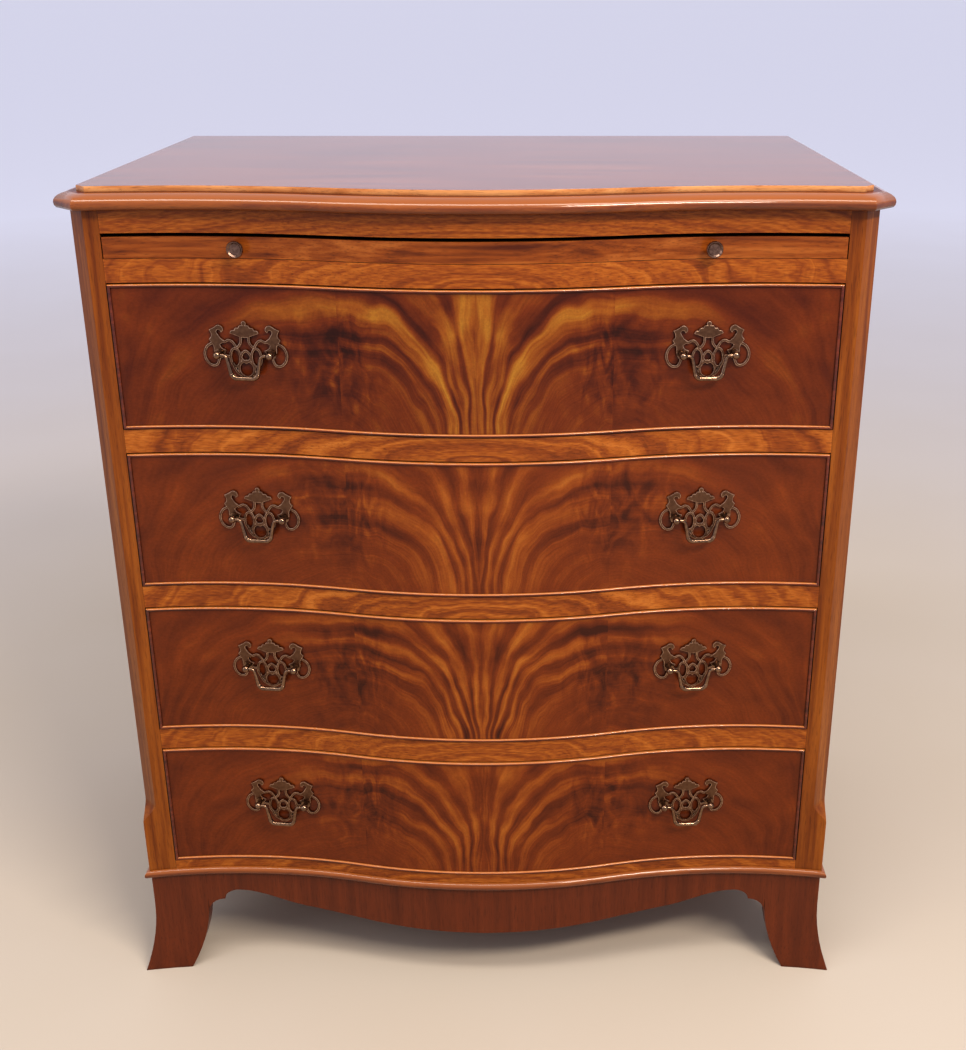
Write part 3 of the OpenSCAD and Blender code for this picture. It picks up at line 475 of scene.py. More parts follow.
def swayed(tree, flat, seed):
    """Moves a point of a leaf a little, by a slow noise."""
    sway = add(tree, "TexNoise", {
        "Vector": add(tree, "VectorMath", {0: flat, 1: SWAY_SCALE},
                      operation="MULTIPLY").outputs[0],
        "W": seed, "Scale": 1.0, "Detail": 2.0, "Roughness": 0.5,
    }, noise_dimensions="4D").outputs["Color"]
    even = add(tree, "VectorMath", {0: sway, 1: (0.5, 0.5, 0.5)}, operation="SUBTRACT")
    moved = add(tree, "VectorMath", {0: even.outputs[0], 1: SWAY, 2: flat},
                operation="MULTIPLY_ADD")
    return moved.outputs[0]


def rib_place(tree, flat, seed):
    """The rib that a point lies on, and its height there."""
    bent = add(tree, "SeparateXYZ", {0: swayed(tree, flat, seed)})
    out = add(tree, "Math", {0: bent.outputs["X"], 1: 0.0}, operation="MAXIMUM").outputs[0]
    past = add(tree, "Math", {0: out, 1: SHOULDER}, operation="SUBTRACT")
    past = add(tree, "Math", {0: past.outputs[0], 1: 0.0}, operation="MAXIMUM").outputs[0]
    drop = add(tree, "Math", {0: past, 1: past}, operation="MULTIPLY").outputs[0]
    up = add(tree, "Math", {0: drop, 1: SHOULDER_DROP, 2: bent.outputs["Z"]},
             operation="MULTIPLY_ADD").outputs[0]
    product = add(tree, "Math", {0: out, 1: up}, operation="MULTIPLY").outputs[0]
    spread = add(tree, "Math", {0: product, 1: 1 / SPREAD, 2: 1.0},
                 operation="MULTIPLY_ADD").outputs[0]
    spread = add(tree, "Math", {0: spread, 1: LEAST_SPREAD}, operation="MAXIMUM").outputs[0]
    raised = add(tree, "Math", {0: up, 1: 0.0}, operation="MAXIMUM").outputs[0]
    squared = add(tree, "Math", {0: raised, 1: raised}, operation="MULTIPLY").outputs[0]
    fan = add(tree, "Math", {0: squared, 1: 1 / (MID_FAN * FAN_HEIGHT ** 2), 2: 1 / MID_FAN},
              operation="MULTIPLY_ADD").outputs[0]
    both = add(tree, "Math", {0: spread, 1: fan}, operation="MULTIPLY").outputs[0]
    rib = add(tree, "Math", {0: out, 1: both}, operation="DIVIDE").outputs[0]
    return rib, up


print(FAN_HEIGHT, "mm up, a rib is about twice as far out as at its foot")

# %% [markdown]
# ## Flame veneer: light and dark
# Each drawer has its own row of light and dark ribs, given as tones from the joint outwards.
# A noise alone could make them, but no eye would take its even stripes for crotch veneer. So
# the row comes first, and a broad noise and a fine silky one only break it up. A noise seldom
# leaves the middle of its range, so a Map Range node spreads each of them.

# %% The row of ribs
RIBS_END = 104
RIBS = {
    1: [(0, 0.75), (6, 0.90), (10, 0.20), (15, 0.95), (21, 0.85), (26, 0.15), (33, 1.0),
        (43, 0.75), (50, 0.15), (60, 0.70), (68, 0.25), (80, 0.65), (104, 0.35)],
    2: [(0, 0.35), (7, 0.80), (12, 0.25), (18, 0.90), (24, 0.40), (30, 0.90), (37, 0.25),
        (45, 0.85), (56, 0.60), (66, 0.25), (78, 0.75), (104, 0.40)],
    3: [(0, 0.45), (6, 0.80), (11, 0.20), (17, 0.95), (22, 0.25), (28, 0.90), (34, 0.15),
        (41, 0.80), (48, 0.25), (58, 0.80), (70, 0.25), (84, 0.65), (104, 0.30)],
    4: [(0, 0.45), (7, 0.30), (13, 0.75), (19, 0.25), (26, 0.90), (33, 0.30), (41, 0.85),
        (50, 0.35), (60, 0.75), (72, 0.30), (86, 0.65), (104, 0.40)],
}
BROAD_SCALE = (1 / 13, 0.1, 1 / 42)
BROAD_SHARE = 0.42
FINE_SCALE = (1 / 2.8, 0.3, 1 / 45)
FINE_SHARE = 0.26
MEAN_TONE = 0.52


def rib_figure(tree, n, rib, line, seed):
    """Light and dark over the ribs of drawer n, from about -0.5 to 0.5."""
    share = add(tree, "Math", {0: rib, 1: RIBS_END}, operation="DIVIDE").outputs[0]
    tones = [(place / RIBS_END, (tone, tone, tone, 1)) for place, tone in RIBS[n]]
    ribs = add(tree, "ValToRGB", {"Fac": share}, stops=tones)
    ribs.color_ramp.interpolation = "EASE"
    broad = add(tree, "TexNoise", {
        "Vector": add(tree, "VectorMath", {0: line, 1: BROAD_SCALE},
                      operation="MULTIPLY").outputs[0],
        "W": seed + 7, "Scale": 1.0, "Detail": 2.0, "Roughness": 0.45,
    }, noise_dimensions="4D").outputs["Fac"]
    broad = add(tree, "MapRange", {
        "Value": broad, "From Min": 0.28, "From Max": 0.72}).outputs["Result"]
    fine = add(tree, "TexNoise", {
        "Vector": add(tree, "VectorMath", {0: line, 1: FINE_SCALE},
                      operation="MULTIPLY").outputs[0],
        "W": seed + 9, "Scale": 1.0, "Detail": 3.0, "Roughness": 0.55,
    }, noise_dimensions="4D").outputs["Fac"]
    fine = add(tree, "MapRange", {
        "Value": fine, "From Min": 0.25, "From Max": 0.75}).outputs["Result"]
    band = add(tree, "Mix", {
        "Factor": BROAD_SHARE, VALUE_A: ribs.outputs["Color"], VALUE_B: broad,
    }, data_type="FLOAT").outputs[0]
    band = add(tree, "Mix", {"Factor": FINE_SHARE, VALUE_A: band, VALUE_B: fine},
               data_type="FLOAT").outputs[0]
    return add(tree, "Math", {0: band, 1: MEAN_TONE}, operation="SUBTRACT").outputs[0]


print("stops in each row of ribs:", [len(RIBS[n]) for n in DRAWERS])

# %% [markdown]
# ## Flame veneer: bold and calm
# The figure could be equally strong all over, but real leaves are boldest at the middle
# joint. So its contrast falls past the last ribs, and towards the ends of the drawer.

# %% Where the figure is bold
CALM_FROM = LEAF_W - 20
CALM_TO = LEAF_W + 120
CALM_SHARE = 0.22
FADE_FROM = 40
FADE_TO = 100
FADE_SHARE = 0.35


def boldness(tree, rib, across, strength):
    """The contrast of the figure: it falls towards the drawer's ends and past the last ribs."""
    calm = add(tree, "MapRange", {
        "Value": across, "From Min": CALM_FROM, "From Max": CALM_TO, "To Min": strength,
        "To Max": CALM_SHARE * strength,
    }).outputs["Result"]
    fading = add(tree, "MapRange", {
        "Value": rib, "From Min": FADE_FROM, "From Max": FADE_TO, "To Min": 1.0,
        "To Max": FADE_SHARE,
    }, interpolation_type="SMOOTHSTEP").outputs["Result"]
    return add(tree, "Math", {0: calm, 1: fading}, operation="MULTIPLY").outputs[0]


print("the figure is calm from", CALM_TO, "mm out")

# %% [markdown]
# ## Flame veneer: the knots
# The knots are dark clouds at the two side joints, where the fibres stand on end and curl.
# A knot could be a disc of its own colour, but it has no outline. A distance from the knot's
# middle darkens the wood softly, and the same distance lets in a twisted noise for the curls.
# The whole front has a slow cloudiness too, and is a little darker at its ends.

# %% Knots and clouds
KNOT_IN = 2
KNOT_FLAT = 0.62
KNOT_CORE = -6.0
KNOT_EDGE = 62.0
KNOT_DARK = -0.065
CLOUD_SIZE = 45
CLOUD_DEPTH = 0.26
TONE_MIDDLE = 0.53
TONE_END = 0.465
TONE_FROM = 30
CURL_SCALE = (1 / 12, 0.5, 1 / 30)
CURL_MEAN = 0.47
CURL_DEPTH = 0.62


def knot_share(tree, flat, knot_up):
    """1 in the middle of a knot, which lies knot_up mm high at a side joint, and 0 past it."""
    pressed = add(tree, "VectorMath", {0: flat, 1: (1, 0, KNOT_FLAT)}, operation="MULTIPLY")
    middle = (LEAF_W - KNOT_IN, 0, KNOT_FLAT * knot_up)
    away = add(tree, "VectorMath", {0: pressed.outputs[0], 1: middle}, operation="DISTANCE")
    return add(tree, "MapRange", {
        "Value": away.outputs["Value"], "From Min": KNOT_CORE, "From Max": KNOT_EDGE,
        "To Min": 1.0, "To Max": 0.0,
    }, interpolation_type="SMOOTHSTEP").outputs["Result"]


def ground(tree, flat, across, knot, seed):
    """The tone of the veneer under its figure."""
    cloud = add(tree, "TexNoise", {
        "Vector": flat, "W": seed + 11, "Scale": 1 / CLOUD_SIZE, "Detail": 3.0,
        "Roughness": 0.5,
    }, noise_dimensions="4D").outputs["Fac"]
    tone = add(tree, "MapRange", {
        "Value": across, "From Min": TONE_FROM, "From Max": DRAWER_HALF,
        "To Min": TONE_MIDDLE, "To Max": TONE_END,
    }).outputs["Result"]
    darker = add(tree, "Math", {0: knot, 1: KNOT_DARK, 2: tone},
                 operation="MULTIPLY_ADD").outputs[0]
    mottled = add(tree, "Math", {0: cloud, 1: CLOUD_DEPTH, 2: darker},
                  operation="MULTIPLY_ADD").outputs[0]
    return add(tree, "Math", {0: mottled, 1: CLOUD_DEPTH / 2}, operation="SUBTRACT").outputs[0]


def curled(tree, flat, knot, shade, seed):
    """Adds the curls of the knots to a tone."""
    curl = add(tree, "TexNoise", {
        "Vector": add(tree, "VectorMath", {0: flat, 1: CURL_SCALE},
                      operation="MULTIPLY").outputs[0],
        "W": seed + 2, "Scale": 1.0, "Detail": 3.0, "Roughness": 0.5, "Distortion": 1.3,
    }, noise_dimensions="4D").outputs["Fac"]
    curl = add(tree, "Math", {0: curl, 1: CURL_MEAN}, operation="SUBTRACT").outputs[0]
    curl = add(tree, "Math", {0: curl, 1: knot}, operation="MULTIPLY").outputs[0]
    return add(tree, "Math", {0: curl, 1: CURL_DEPTH, 2: shade},
               operation="MULTIPLY_ADD").outputs[0]


print("a knot reaches", KNOT_EDGE, "mm from its middle")

# %% [markdown]
# ## Flame veneer: silk and colour
# Cut fibres glint like silk along each rib, and open pores give a fine grit 1.8 mm apart.
# They could be relief alone, but under the polish they show as lighter and darker wood. So
# both change the colour a little: the glint is a painted sheen, the grit the wood's own fleck.
# Only the silk dents the wood too, in place of pores. No two leaves are alike: the top
# drawer's are deeper in colour.

# %% The finished veneer
SILK_SCALE = (0.5, 1, 1 / 24)
GRIT_SIZE = 1.8
SILK_RANGE = 0.3
SHEEN_DEPTH = 0.16
VENEER_FILM = 0.34


def silky(tree, flat, line):
    """A factor near 1 for the painted sheen of the fibres, and the silk itself."""
    silk = add(tree, "TexNoise", {
        "Vector": add(tree, "VectorMath", {0: line, 1: SILK_SCALE},
                      operation="MULTIPLY").outputs[0],
        "Scale": 1.0, "Detail": 2.0,
    }).outputs["Fac"]
    grit = add(tree, "TexNoise", {
        "Vector": flat, "Scale": 1 / GRIT_SIZE, "Detail": 2.0, "Roughness": 0.6,
    }).outputs["Fac"]
    both = add(tree, "Math", {0: silk, 1: grit}, operation="ADD").outputs[0]
    sheen = add(tree, "MapRange", {
        "Value": both, "From Min": 1 - SILK_RANGE, "From Max": 1 + SILK_RANGE,
        "To Min": 1 - SHEEN_DEPTH, "To Max": 1 + SHEEN_DEPTH,
    }).outputs["Result"]
    return sheen, silk


def flame_veneer(n, seed, strength, knot_up, stops):
    """Flame for drawer n: strength is its contrast, knot_up the height of its knots in mm."""
    material, tree, shader = new_material(f"flame_mahogany_veneer_{n}")
    flat, across, leaf = leaf_place(tree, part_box(f"drawer_{n}_front")[0].z)
    rib, up = rib_place(tree, flat, seed)
    line = add(tree, "CombineXYZ", {0: rib, 1: leaf, 2: up}).outputs[0]
    knot = knot_share(tree, flat, knot_up)
    shade = add(tree, "Math", {
        0: rib_figure(tree, n, rib, line, seed), 1: boldness(tree, rib, across, strength),
        2: ground(tree, flat, across, knot, seed),
    }, operation="MULTIPLY_ADD").outputs[0]
    tone = curled(tree, flat, knot, shade, seed)
    colour = add(tree, "ValToRGB", {"Fac": tone}, stops=shades(stops)).outputs["Color"]
    sheen, silk = silky(tree, flat, line)
    lit = add(tree, "VectorMath", {0: colour, "Scale": sheen}, operation="SCALE").outputs[0]
    tree.links.new(paint_corner_shade_and_wax(tree, lit), shader.inputs["Base Color"])
    polish(tree, shader, silk, VENEER_FILM)
    return material


DEEP_STOPS = [(0.33, "#2b0e05"), (0.42, "#471a08"), (0.51, "#61290a"), (0.61, "#7f4612"),
              (0.72, "#976620")]
SOFT_STOPS = [(0.33, "#371507"), (0.42, "#51210a"), (0.51, "#672d0c"), (0.61, "#834413"),
              (0.73, "#9b5e20")]
flames = {
    1: flame_veneer(1, seed=3.1, strength=0.50, knot_up=66, stops=DEEP_STOPS),
    2: flame_veneer(2, seed=8.4, strength=0.52, knot_up=90, stops=SOFT_STOPS),
    3: flame_veneer(3, seed=14.2, strength=0.58, knot_up=70, stops=SOFT_STOPS),
    4: flame_veneer(4, seed=21.7, strength=0.54, knot_up=84, stops=SOFT_STOPS),
}
print("flame leaves:", len(flames) * 4)

# %% [markdown]
# ## Bare softwood
# Drawer linings, runners and the back are softwood without any polish: pale, dry and matt.
# It could be a plain pale colour, but its growth rings show from a step away when a drawer is
# open. They are 9 mm apart here, and the nap of the sawn fibres is 1 mm wide.

# %% Softwood
SOFT_RING = (400 * MM, 9 * MM)
FIBRE = (30 * MM, 1 * MM)
NAP = 0.1 * MM
SOFTWOOD_STOPS = [(0.35, "#a87c4c"), (0.5, "#c29a66"), (0.65, "#d0ac7a")]


def bare_softwood(name, along, seed):
    """Unpolished softwood with its grain along one axis."""
    material, tree, shader = new_material(name)
    rings = add(tree, "TexNoise", {
        "Vector": stretched(tree, SOFT_RING, along), "W": seed, "Scale": 1.0, "Detail": 3.0,
    }, noise_dimensions="4D").outputs["Fac"]
    colour = add(tree, "ValToRGB", {"Fac": rings}, stops=shades(SOFTWOOD_STOPS))
    tree.links.new(colour.outputs["Color"], shader.inputs["Base Color"])
    dry = add(tree, "MapRange", {"Value": rings, "To Min": 0.6, "To Max": 0.78})
    tree.links.new(dry.outputs["Result"], shader.inputs["Roughness"])
    fibre = add(tree, "TexNoise", {
        "Vector": stretched(tree, FIBRE, along), "Scale": 1.0, "Detail": 2.0,
    }).outputs["Fac"]
    nap = add(tree, "Bump", {"Strength": 0.25, "Distance": NAP, "Height": fibre})
    tree.links.new(nap.outputs["Normal"], shader.inputs["Normal"])
    return material


lining = {axis: bare_softwood(f"softwood_bare_{axis}", along, 4.0 + along)
          for along, axis in enumerate("xyz")}
print("softwood finishes:", len(lining))

# %% [markdown]
# ## Bronzed brass
# The handles are brass that was darkened at the works to a brown bronze, and lacquered. Use
# rubs it bright again where hands and dusters reach. They could all share one brown, but that
# would look like plastic. So the flat plates are dark and dull, their rims are rubbed, and
# the bails, posts and knobs are smooth and bright. Tarnish mottles all of them, with three
# spots to a centimetre.

# %% Brass
SPOTS = 3 / (10 * MM)
CAST_DEPTH = 0.05 * MM


def antique_brass(name, stops, smooth, rough):
    """Brass with its own colours, and with a lacquer that is worn from smooth to rough."""
    material, tree, shader = new_material(name)
    mottle = add(tree, "TexNoise", {
        "Vector": add(tree, "TexCoord").outputs["Object"], "Scale": SPOTS, "Detail": 3.0,
    }).outputs["Fac"]
    colour = add(tree, "ValToRGB", {"Fac": mottle}, stops=shades(stops))
    tree.links.new(colour.outputs["Color"], shader.inputs["Base Color"])
    tarnish = add(tree, "MapRange", {
        "Value": mottle, "From Min": 0.3, "From Max": 0.7, "To Min": smooth, "To Max": rough,
    })
    tree.links.new(tarnish.outputs["Result"], shader.inputs["Roughness"])
    cast = add(tree, "Bump", {"Strength": 0.06, "Distance": CAST_DEPTH, "Height": mottle})
    tree.links.new(cast.outputs["Normal"], shader.inputs["Normal"])
    shader.inputs["Metallic"].default_value = 1.0
    return material


BRASSES = {
    "plate": ("brass_plates_bronzed", [(0.3, "#604636"), (0.7, "#725642")], 0.32, 0.42),
    "rim": ("brass_rims_rubbed", [(0.3, "#94765f"), (0.7, "#c4a58c")], 0.24, 0.34),
    "bail": ("brass_bails_lacquered", [(0.3, "#6b5444"), (0.7, "#8f735c")], 0.15, 0.22),
    "knob": ("brass_knobs_lacquered", [(0.3, "#6a5145"), (0.7, "#8a6f5f")], 0.22, 0.32),
}
brass = {part: antique_brass(*facts) for part, facts in BRASSES.items()}
print("brass finishes:", len(brass))

# %% [markdown]
# ## Clean copies
# The construction model is made of loose triangles, and it stays as it is. A piece that
# stands for one of its parts starts as a copy. The copy is welded, and triangles that lie in
# one plane are dissolved into whole faces, so that edges can be found by their angle.

# %% Copy and weld
WELD = 0.002 * MM
FLAT_TURN = math.radians(0.05)


def only(piece):
    """Selects one object alone and makes it the active one."""
    bpy.ops.object.select_all(action="DESELECT")
    piece.select_set(True)
    bpy.context.view_layer.objects.active = piece


def weld(piece, distance, turn):
    """Merges points within a distance, and faces that turn less than an angle."""
    only(piece)
    bpy.ops.object.mode_set(mode="EDIT")
    bpy.ops.mesh.select_all(action="SELECT")
    bpy.ops.mesh.remove_doubles(threshold=distance)
    bpy.ops.mesh.dissolve_limited(angle_limit=turn)
    bpy.ops.object.mode_set(mode="OBJECT")


def welded_copy(node, name):
    """A copy of a CAD node as one clean surface."""
    piece = bpy.data.objects.new(name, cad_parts[node].data.copy())
    bpy.context.collection.objects.link(piece)
    only(piece)
    bpy.ops.mesh.customdata_custom_splitnormals_clear()
    weld(piece, WELD, FLAT_TURN)
    return piece


print("nodes to copy or dress:", len(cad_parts))

# %% [markdown]
# ## Eased edges
# No edge on real furniture is a knife edge: it is eased with a few strokes of fine paper, and
# a thin line of light runs along it. Each edge could be rounded by hand. A bevel modifier
# that looks for sharp turns eases them all at once, and weighted normals then keep the broad
# faces calm. Where a part's shape is right as it is, it only gets its finish.

# %% Ease and finish
SHARP_TURN = math.radians(38)


def apply_all(piece):
    """Applies the modifiers of a piece."""
    only(piece)
    for modifier in list(piece.modifiers):
        bpy.ops.object.modifier_apply(modifier=modifier.name)


def ease_edges(piece, width):
    """Bevels the sharp edges of a piece by a width in metres."""
    ease = piece.modifiers.new("eased", "BEVEL")
    ease.width = width
    ease.segments = 2
    ease.limit_method = "ANGLE"
    ease.angle_limit = SHARP_TURN
    apply_all(piece)


def smooth_faces(piece):
    """Shades round faces smoothly and keeps flat ones flat."""
    only(piece)
    bpy.ops.object.shade_smooth_by_angle(angle=SHARP_TURN)
    piece.modifiers.new("calm", "WEIGHTED_NORMAL").keep_sharp = True
    apply_all(piece)


def finish_piece(piece, material, body, slot, *nodes):
    """Gives a piece its finish and its body, and hides the nodes that it stands for."""
    piece.data.materials.clear()
    piece.data.materials.append(material)
    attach(piece, body)
    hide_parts(*nodes)


def eased(node, body, material, slot, width):
    """Stands for a CAD node, with edges eased by width in metres, or only smoothed at 0."""
    piece = welded_copy(node, node + "_finished")
    if width:
        ease_edges(piece, width)
    smooth_faces(piece)
    finish_piece(piece, material, body, slot, node)
    return piece


def dress(node, material):
    """Gives a CAD node its finish where its shape is right as it is."""
    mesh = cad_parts[node].data
    mesh.materials.clear()
    mesh.materials.append(material)


print("edges that turn more than", round(math.degrees(SHARP_TURN)), "degrees are eased")

# %% [markdown]
# ## The case
# The case is a box of sides, rails and a bottom, with a post at each front corner and a
# moulded top. Its boards could be joined into one mesh. They are kept as pieces, so that the
# grain stops at each joint as it does in wood. The base moulding is round already and is only
# smoothed.

# %% Case: finish and eased edge in mm
CASE = {
    "top_board": ("top", 0.5), "top_moulding": ("bead", 0.4),
    "side_left": ("side", 0.4), "side_right": ("side", 0.4),
    "corner_post_left": ("post", 0.3), "corner_post_right": ("post", 0.3),
    "bottom_board": ("rail", 0.4), "top_rail": ("rail", 0.4), "slide_rail": ("rail", 0.4),
    "drawer_rails": ("rail", 0.4), "base_moulding": ("bead", 0.0),
}
for node, (finish, width) in CASE.items():
    piece = eased(node, "case", wood[finish], "mahogany", width * MM)
    print(piece.name, len(piece.data.polygons), "faces")

# %% [markdown]
# ## The plinth in one skin
# The aprons and the feet are veneered after they are glued together, so no joint shows
# between them. Loose copies would show a line at each joint. A boolean union makes one solid
# of them, and the faces that lie in one plane are then merged.

# %% Plinth
PLINTH = ("front_apron", "side_aprons", "front_feet", "back_feet")
PLINTH_WELD = 0.01 * MM
PLINTH_TURN = math.radians(0.3)
PLINTH_EDGE = 0.7 * MM

plinth = welded_copy(PLINTH[0], "plinth_finished")
for node in PLINTH[1:]:
    other = welded_copy(node, node + "_loose")
    union = plinth.modifiers.new("union", "BOOLEAN")
    union.operation = "UNION"
    union.solver = "EXACT"
    union.use_self = True
    union.object = other
    apply_all(plinth)
    bpy.data.objects.remove(other)
weld(plinth, PLINTH_WELD, PLINTH_TURN)
ease_edges(plinth, PLINTH_EDGE)
smooth_faces(plinth)
finish_piece(plinth, wood["plinth"], "case", "mahogany_dark", *PLINTH)
print("plinth in one piece:", len(plinth.data.polygons), "faces")

# %% [markdown]
# ## Edges of the top
# The board's face shows its dark, reflecting top. Its upright fillet belongs to the moulding
# and is golden, and it is painted lighter still where light falls on it: so faces that stand
# upright get that lighter material. The flat ledge under it is painted dark: painted shade in
# the corner, with old wax. Both could be thin strips of their own, but a second material on
# the same piece is enough, on faces that are picked by where they point.

# %% Fillet and ledge
UPRIGHT = 0.9
LEVEL = 0.99
LEDGE_REACH = 0.5 * MM


def second_finish(name, material, chosen):
    """Gives the chosen faces of a piece another finish."""
    mesh = bpy.data.objects[name].data
    mesh.materials.append(material)
    picked = [face for face in mesh.polygons if chosen(face)]
    for face in picked:
        face.material_index = 1
    print(name, len(picked), "faces in", material.name)


ledge_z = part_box("top_moulding")[1].z
# Painted light on the upright faces, painted shade on the ledge
second_finish("top_board_finished", wood["fillet"], lambda face: abs(face.normal.z) < UPRIGHT)
second_finish(
    "top_moulding_finished", wood["ledge"],
    lambda face: face.normal.z > LEVEL and abs(face.center.z - ledge_z) < LEDGE_REACH)

# %% [markdown]
# ## Back and runners
# The back and the drawer runners are seldom seen, and were left as they came from the plane.
# They could be copied as well, but the construction model has their shapes right. It is
# enough to give them bare softwood, with its grain along each board.

# %% Back and runners
dress("back_panel", lining["z"])
dress("drawer_runners", lining["y"])
print("back and runners dressed")

# %% [markdown]
# ## The brushing slide
# A thin board over the drawers pulls out by two small knobs, for clothes to be laid on. Its
# front strip matches the rails round it, and its board is polished like the top. One mesh
# could hold them all, but three pieces are easier to finish. They ride on one body, so they
# run out together.

# %% Slide
SLIDE_EDGE = 0.4 * MM

eased("slide_front", "slide", wood["slide"], "mahogany", SLIDE_EDGE)
eased("slide_board", "slide", wood["top"], "mahogany", SLIDE_EDGE)
eased("slide_knobs", "slide", brass["knob"], "brass", 0)
print("slide dressed")

# %% [markdown]
# ## Rims of the plates
# The pierced plates are stamped, and a narrow sloping rim runs round every edge and opening.
# It catches the light and makes the pattern readable from a step away. A bevel would round
# the back too. An inset of the front faces alone, lifted by a fifth of a millimetre, gives
# the slope where it shows.

# %% Plates with rims
RIM = 0.45 * MM
RIM_HEIGHT = 0.22 * MM
FACING_FRONT = -0.95


def pick(piece, kind, chosen):
    """Opens a piece for editing with only its chosen VERT or FACE elements selected."""
    only(piece)
    bpy.ops.object.mode_set(mode="EDIT")
    bpy.ops.mesh.select_mode(type=kind)
    bpy.ops.mesh.select_all(action="DESELECT")
    bpy.ops.object.mode_set(mode="OBJECT")
    for element in piece.data.vertices if kind == "VERT" else piece.data.polygons:
        element.select = chosen(element)
    bpy.ops.object.mode_set(mode="EDIT")


def rimmed_plates(node, body):
    """The pierced plates of a drawer, with a sloping rim round every edge."""
    piece = welded_copy(node, node + "_finished")
    pick(piece, "FACE", lambda face: face.normal.y < FACING_FRONT)
    bpy.ops.mesh.inset(thickness=RIM, depth=RIM_HEIGHT, use_even_offset=True)
    bpy.ops.mesh.select_mode(type="VERT")
    bpy.ops.object.mode_set(mode="OBJECT")
    smooth_faces(piece)
    finish_piece(piece, brass["plate"], body, "brass", node)
    second_finish(piece.name, brass["rim"], lambda face: face.normal.y > FACING_FRONT)


print("rims, width and height in mm:", round(RIM / MM, 2), round(RIM_HEIGHT / MM, 2))

# %% [markdown]
# ## Stout grips
# A cast bail is slender at its pivots and stoutest in the middle of its grip. It could be
# modelled anew, but the copy already has the right path. Pushing its points outwards along
# their normals thickens it. This is done in seven small steps, each on the points below a
# lower level, so that the bail swells evenly towards the grip.

# %% Bails
SWELL_STEPS = 7
SWELL_STEP = 0.12 * MM
SWELL_START = 0.25
SWELL_SPAN = 0.5


def swell(bail, node):
    """Thickens a bail towards the middle of its grip."""
    low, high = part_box(node)
    for step in range(SWELL_STEPS):
        down = SWELL_START + SWELL_SPAN * step / SWELL_STEPS
        level = high.z - (high.z - low.z) * down
        pick(bail, "VERT", lambda vertex: vertex.co.z < level)
        bpy.ops.transform.shrink_fatten(value=SWELL_STEP)
        bpy.ops.object.mode_set(mode="OBJECT")


print("a grip is thicker by", round(2 * SWELL_STEPS * SWELL_STEP / MM, 2), "mm")

# %% [markdown]
# ## The drawers
# Each drawer is a box of bare softwood behind a flame-veneered front, with a thin cockbead
# round the front's edge, and with two handles. Each could be dressed by itself, but all four
# are made alike and only their veneer differs, so one loop dresses them. A bail swings in its
# posts, so it rides on a body of its own.

# %% Drawers
FRONT_EDGE = 0.2 * MM
LININGS = {"side_left": "y", "side_right": "y", "back": "x", "bottom": "x"}

for n in DRAWERS:
    body = f"drawer_{n}"
    eased(f"{body}_front", body, flames[n], "flame_veneer", FRONT_EDGE)
    eased(f"{body}_cockbead", body, wood["cockbead"], "mahogany", 0)
    for part, axis in LININGS.items():
        dress(f"{body}_{part}", lining[axis])
    rimmed_plates(f"{body}_handle_plates", body)
    eased(f"{body}_posts", body, brass["bail"], "brass", 0)
    for side in ("left", "right"):
        node = f"{body}_bail_{side}"
        swell(eased(node, f"bail_{n}_{side}", brass["bail"], "brass", 0), node)
print("drawers dressed:", len(DRAWERS))

# %% [markdown]
# ## Floor
# The floor is plain, pale and matt. A small sheet would show its edge behind the chest, so
# this one reaches the horizon. It is warm near the chest and takes the tone of the sky
# farther off, and so no line shows where the two meet.

# %% Floor
FLOOR_RADIUS = 500
FLOOR_NEAR = 1.0
FLOOR_FAR = 6.0
PATCHES_PER_METRE = 3.0
PATCH_DEPTH = 0.06
FLOOR_STOPS = [(0.0, "#b8ab99"), (0.35, "#cbc4c0"), (1.0, "#ecebf1")]

bpy.ops.mesh.primitive_circle_add(vertices=64, radius=FLOOR_RADIUS, fill_type="NGON")
floor = bpy.context.object
floor.name = "floor"
floor_material, floor_tree, floor_shader = new_material("floor_pale_matt")
place = add(floor_tree, "TexCoord").outputs["Object"]
away = add(floor_tree, "VectorMath", {0: place}, operation="LENGTH").outputs["Value"]
patches = add(floor_tree, "TexNoise", {
    "Vector": place, "Scale": PATCHES_PER_METRE, "Detail": 2.0})
far = add(floor_tree, "MapRange", {
    "Value": away, "From Min": FLOOR_NEAR, "From Max": FLOOR_FAR})
tone = add(floor_tree, "Math", {
    0: patches.outputs["Fac"], 1: PATCH_DEPTH, 2: far.outputs["Result"],
}, operation="MULTIPLY_ADD")
tint = add(floor_tree, "ValToRGB", {"Fac": tone.outputs[0]}, stops=shades(FLOOR_STOPS))
floor_tree.links.new(tint.outputs["Color"], floor_shader.inputs["Base Color"])
floor_shader.inputs["Roughness"].default_value = 0.85
floor_shader.inputs["Specular IOR Level"].default_value = 0.2
floor.data.materials.append(floor_material)
print("floor laid, radius in m:", FLOOR_RADIUS)

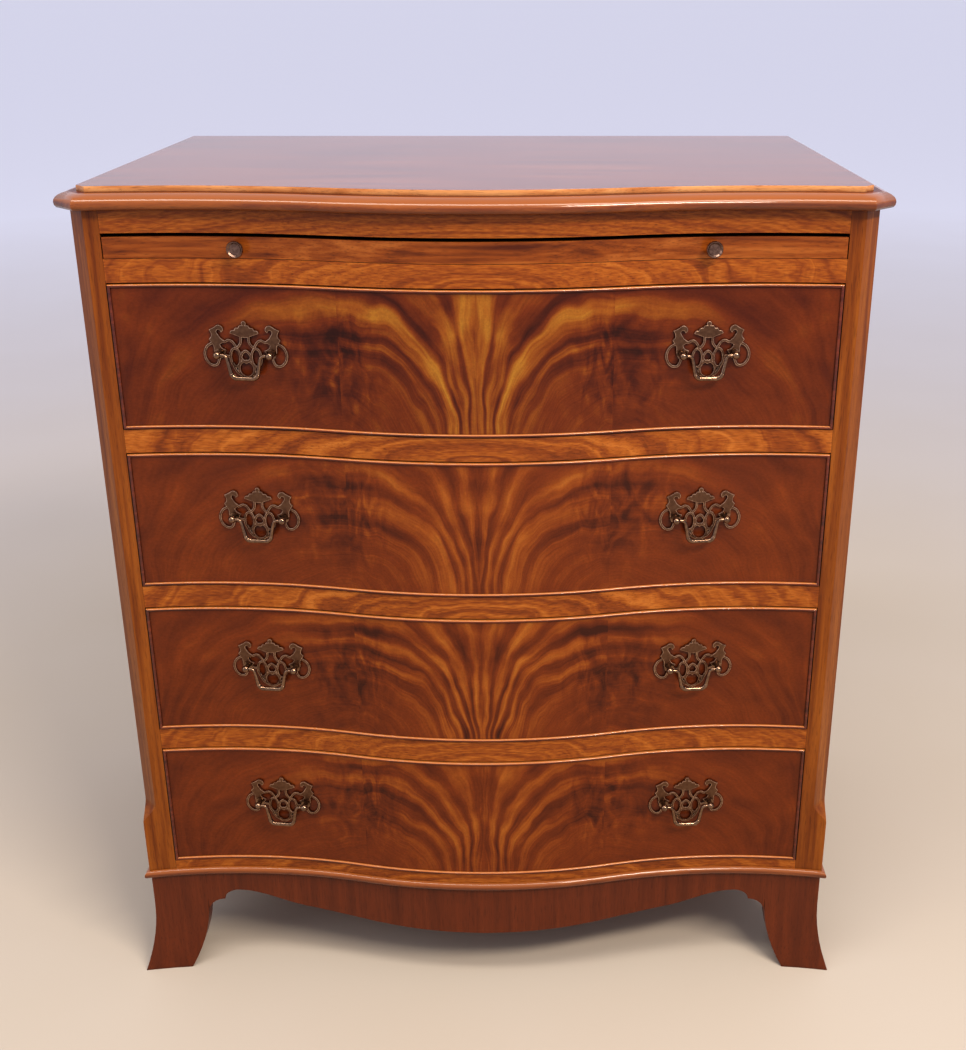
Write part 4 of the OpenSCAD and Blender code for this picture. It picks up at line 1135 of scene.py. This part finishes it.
# %% [markdown]
# ## Light
# A long narrow light hangs high on the right, like a strip of window, and draws the bright
# lines on the mouldings. A wider one hangs over the chest, and a weak one fills in from the
# left. Small lamps could light it too, but they would leave hard glints and shadows. An area
# light is as broad as what it stands for.

# %% Lamps
def soft_light(name, place, target, size, watts, colour):
    """A rectangular light that faces its target. size is its width and height in metres."""
    data = bpy.data.lights.new(name, "AREA")
    data.shape = "RECTANGLE"
    data.size, data.size_y = size
    data.energy = watts
    data.color = linear(colour)[:3]
    light = bpy.data.objects.new(name, data)
    bpy.context.collection.objects.link(light)
    light.location = place
    light.rotation_euler = (Vector(target) - Vector(place)).to_track_quat("-Z", "Y").to_euler()
    print(name, "light:", watts, "W")


soft_light("window", place=(1.25, -1.8, 2.4), target=(0, -0.2, 0.6), size=(1.3, 0.22),
           watts=61, colour="#fff4e6")
soft_light("ceiling", place=(-0.1, -1.1, 2.9), target=(0, -0.1, 0.5), size=(2.4, 0.5),
           watts=34, colour="#fffaf4")
soft_light("fill", place=(-2.4, -1.2, 1.5), target=(0, 0, 0.5), size=(1.4, 1.4),
           watts=10, colour="#f4f6ff")

# %% [markdown]
# ## Sky
# Lamps alone would leave the back and the shadows black, and the polish would have little to
# mirror. A picture of a room could light the chest all round, but the room would show in the
# polish. A plain pale sky, a little brighter overhead, lights every side softly.

# %% Sky
SKY_STOPS = [(0.0, "#cfcfe1"), (0.15, "#d0cfdd"), (0.45, "#e0e1f0")]
SKY_STRENGTH = 0.92

world = bpy.data.worlds.new("studio")
bpy.context.scene.world = world
world.use_nodes = True
sky = world.node_tree
background = sky.nodes["Background"]
upward = add(sky, "SeparateXYZ", {0: add(sky, "TexCoord").outputs["Generated"]}).outputs["Z"]
pale = add(sky, "ValToRGB", {"Fac": upward}, stops=shades(SKY_STOPS))
sky.links.new(pale.outputs["Color"], background.inputs["Color"])
background.inputs["Strength"].default_value = SKY_STRENGTH
bpy.context.scene.view_settings.view_transform = "Standard"
bpy.context.scene.view_settings.look = "Medium High Contrast"
print("sky strength:", SKY_STRENGTH)
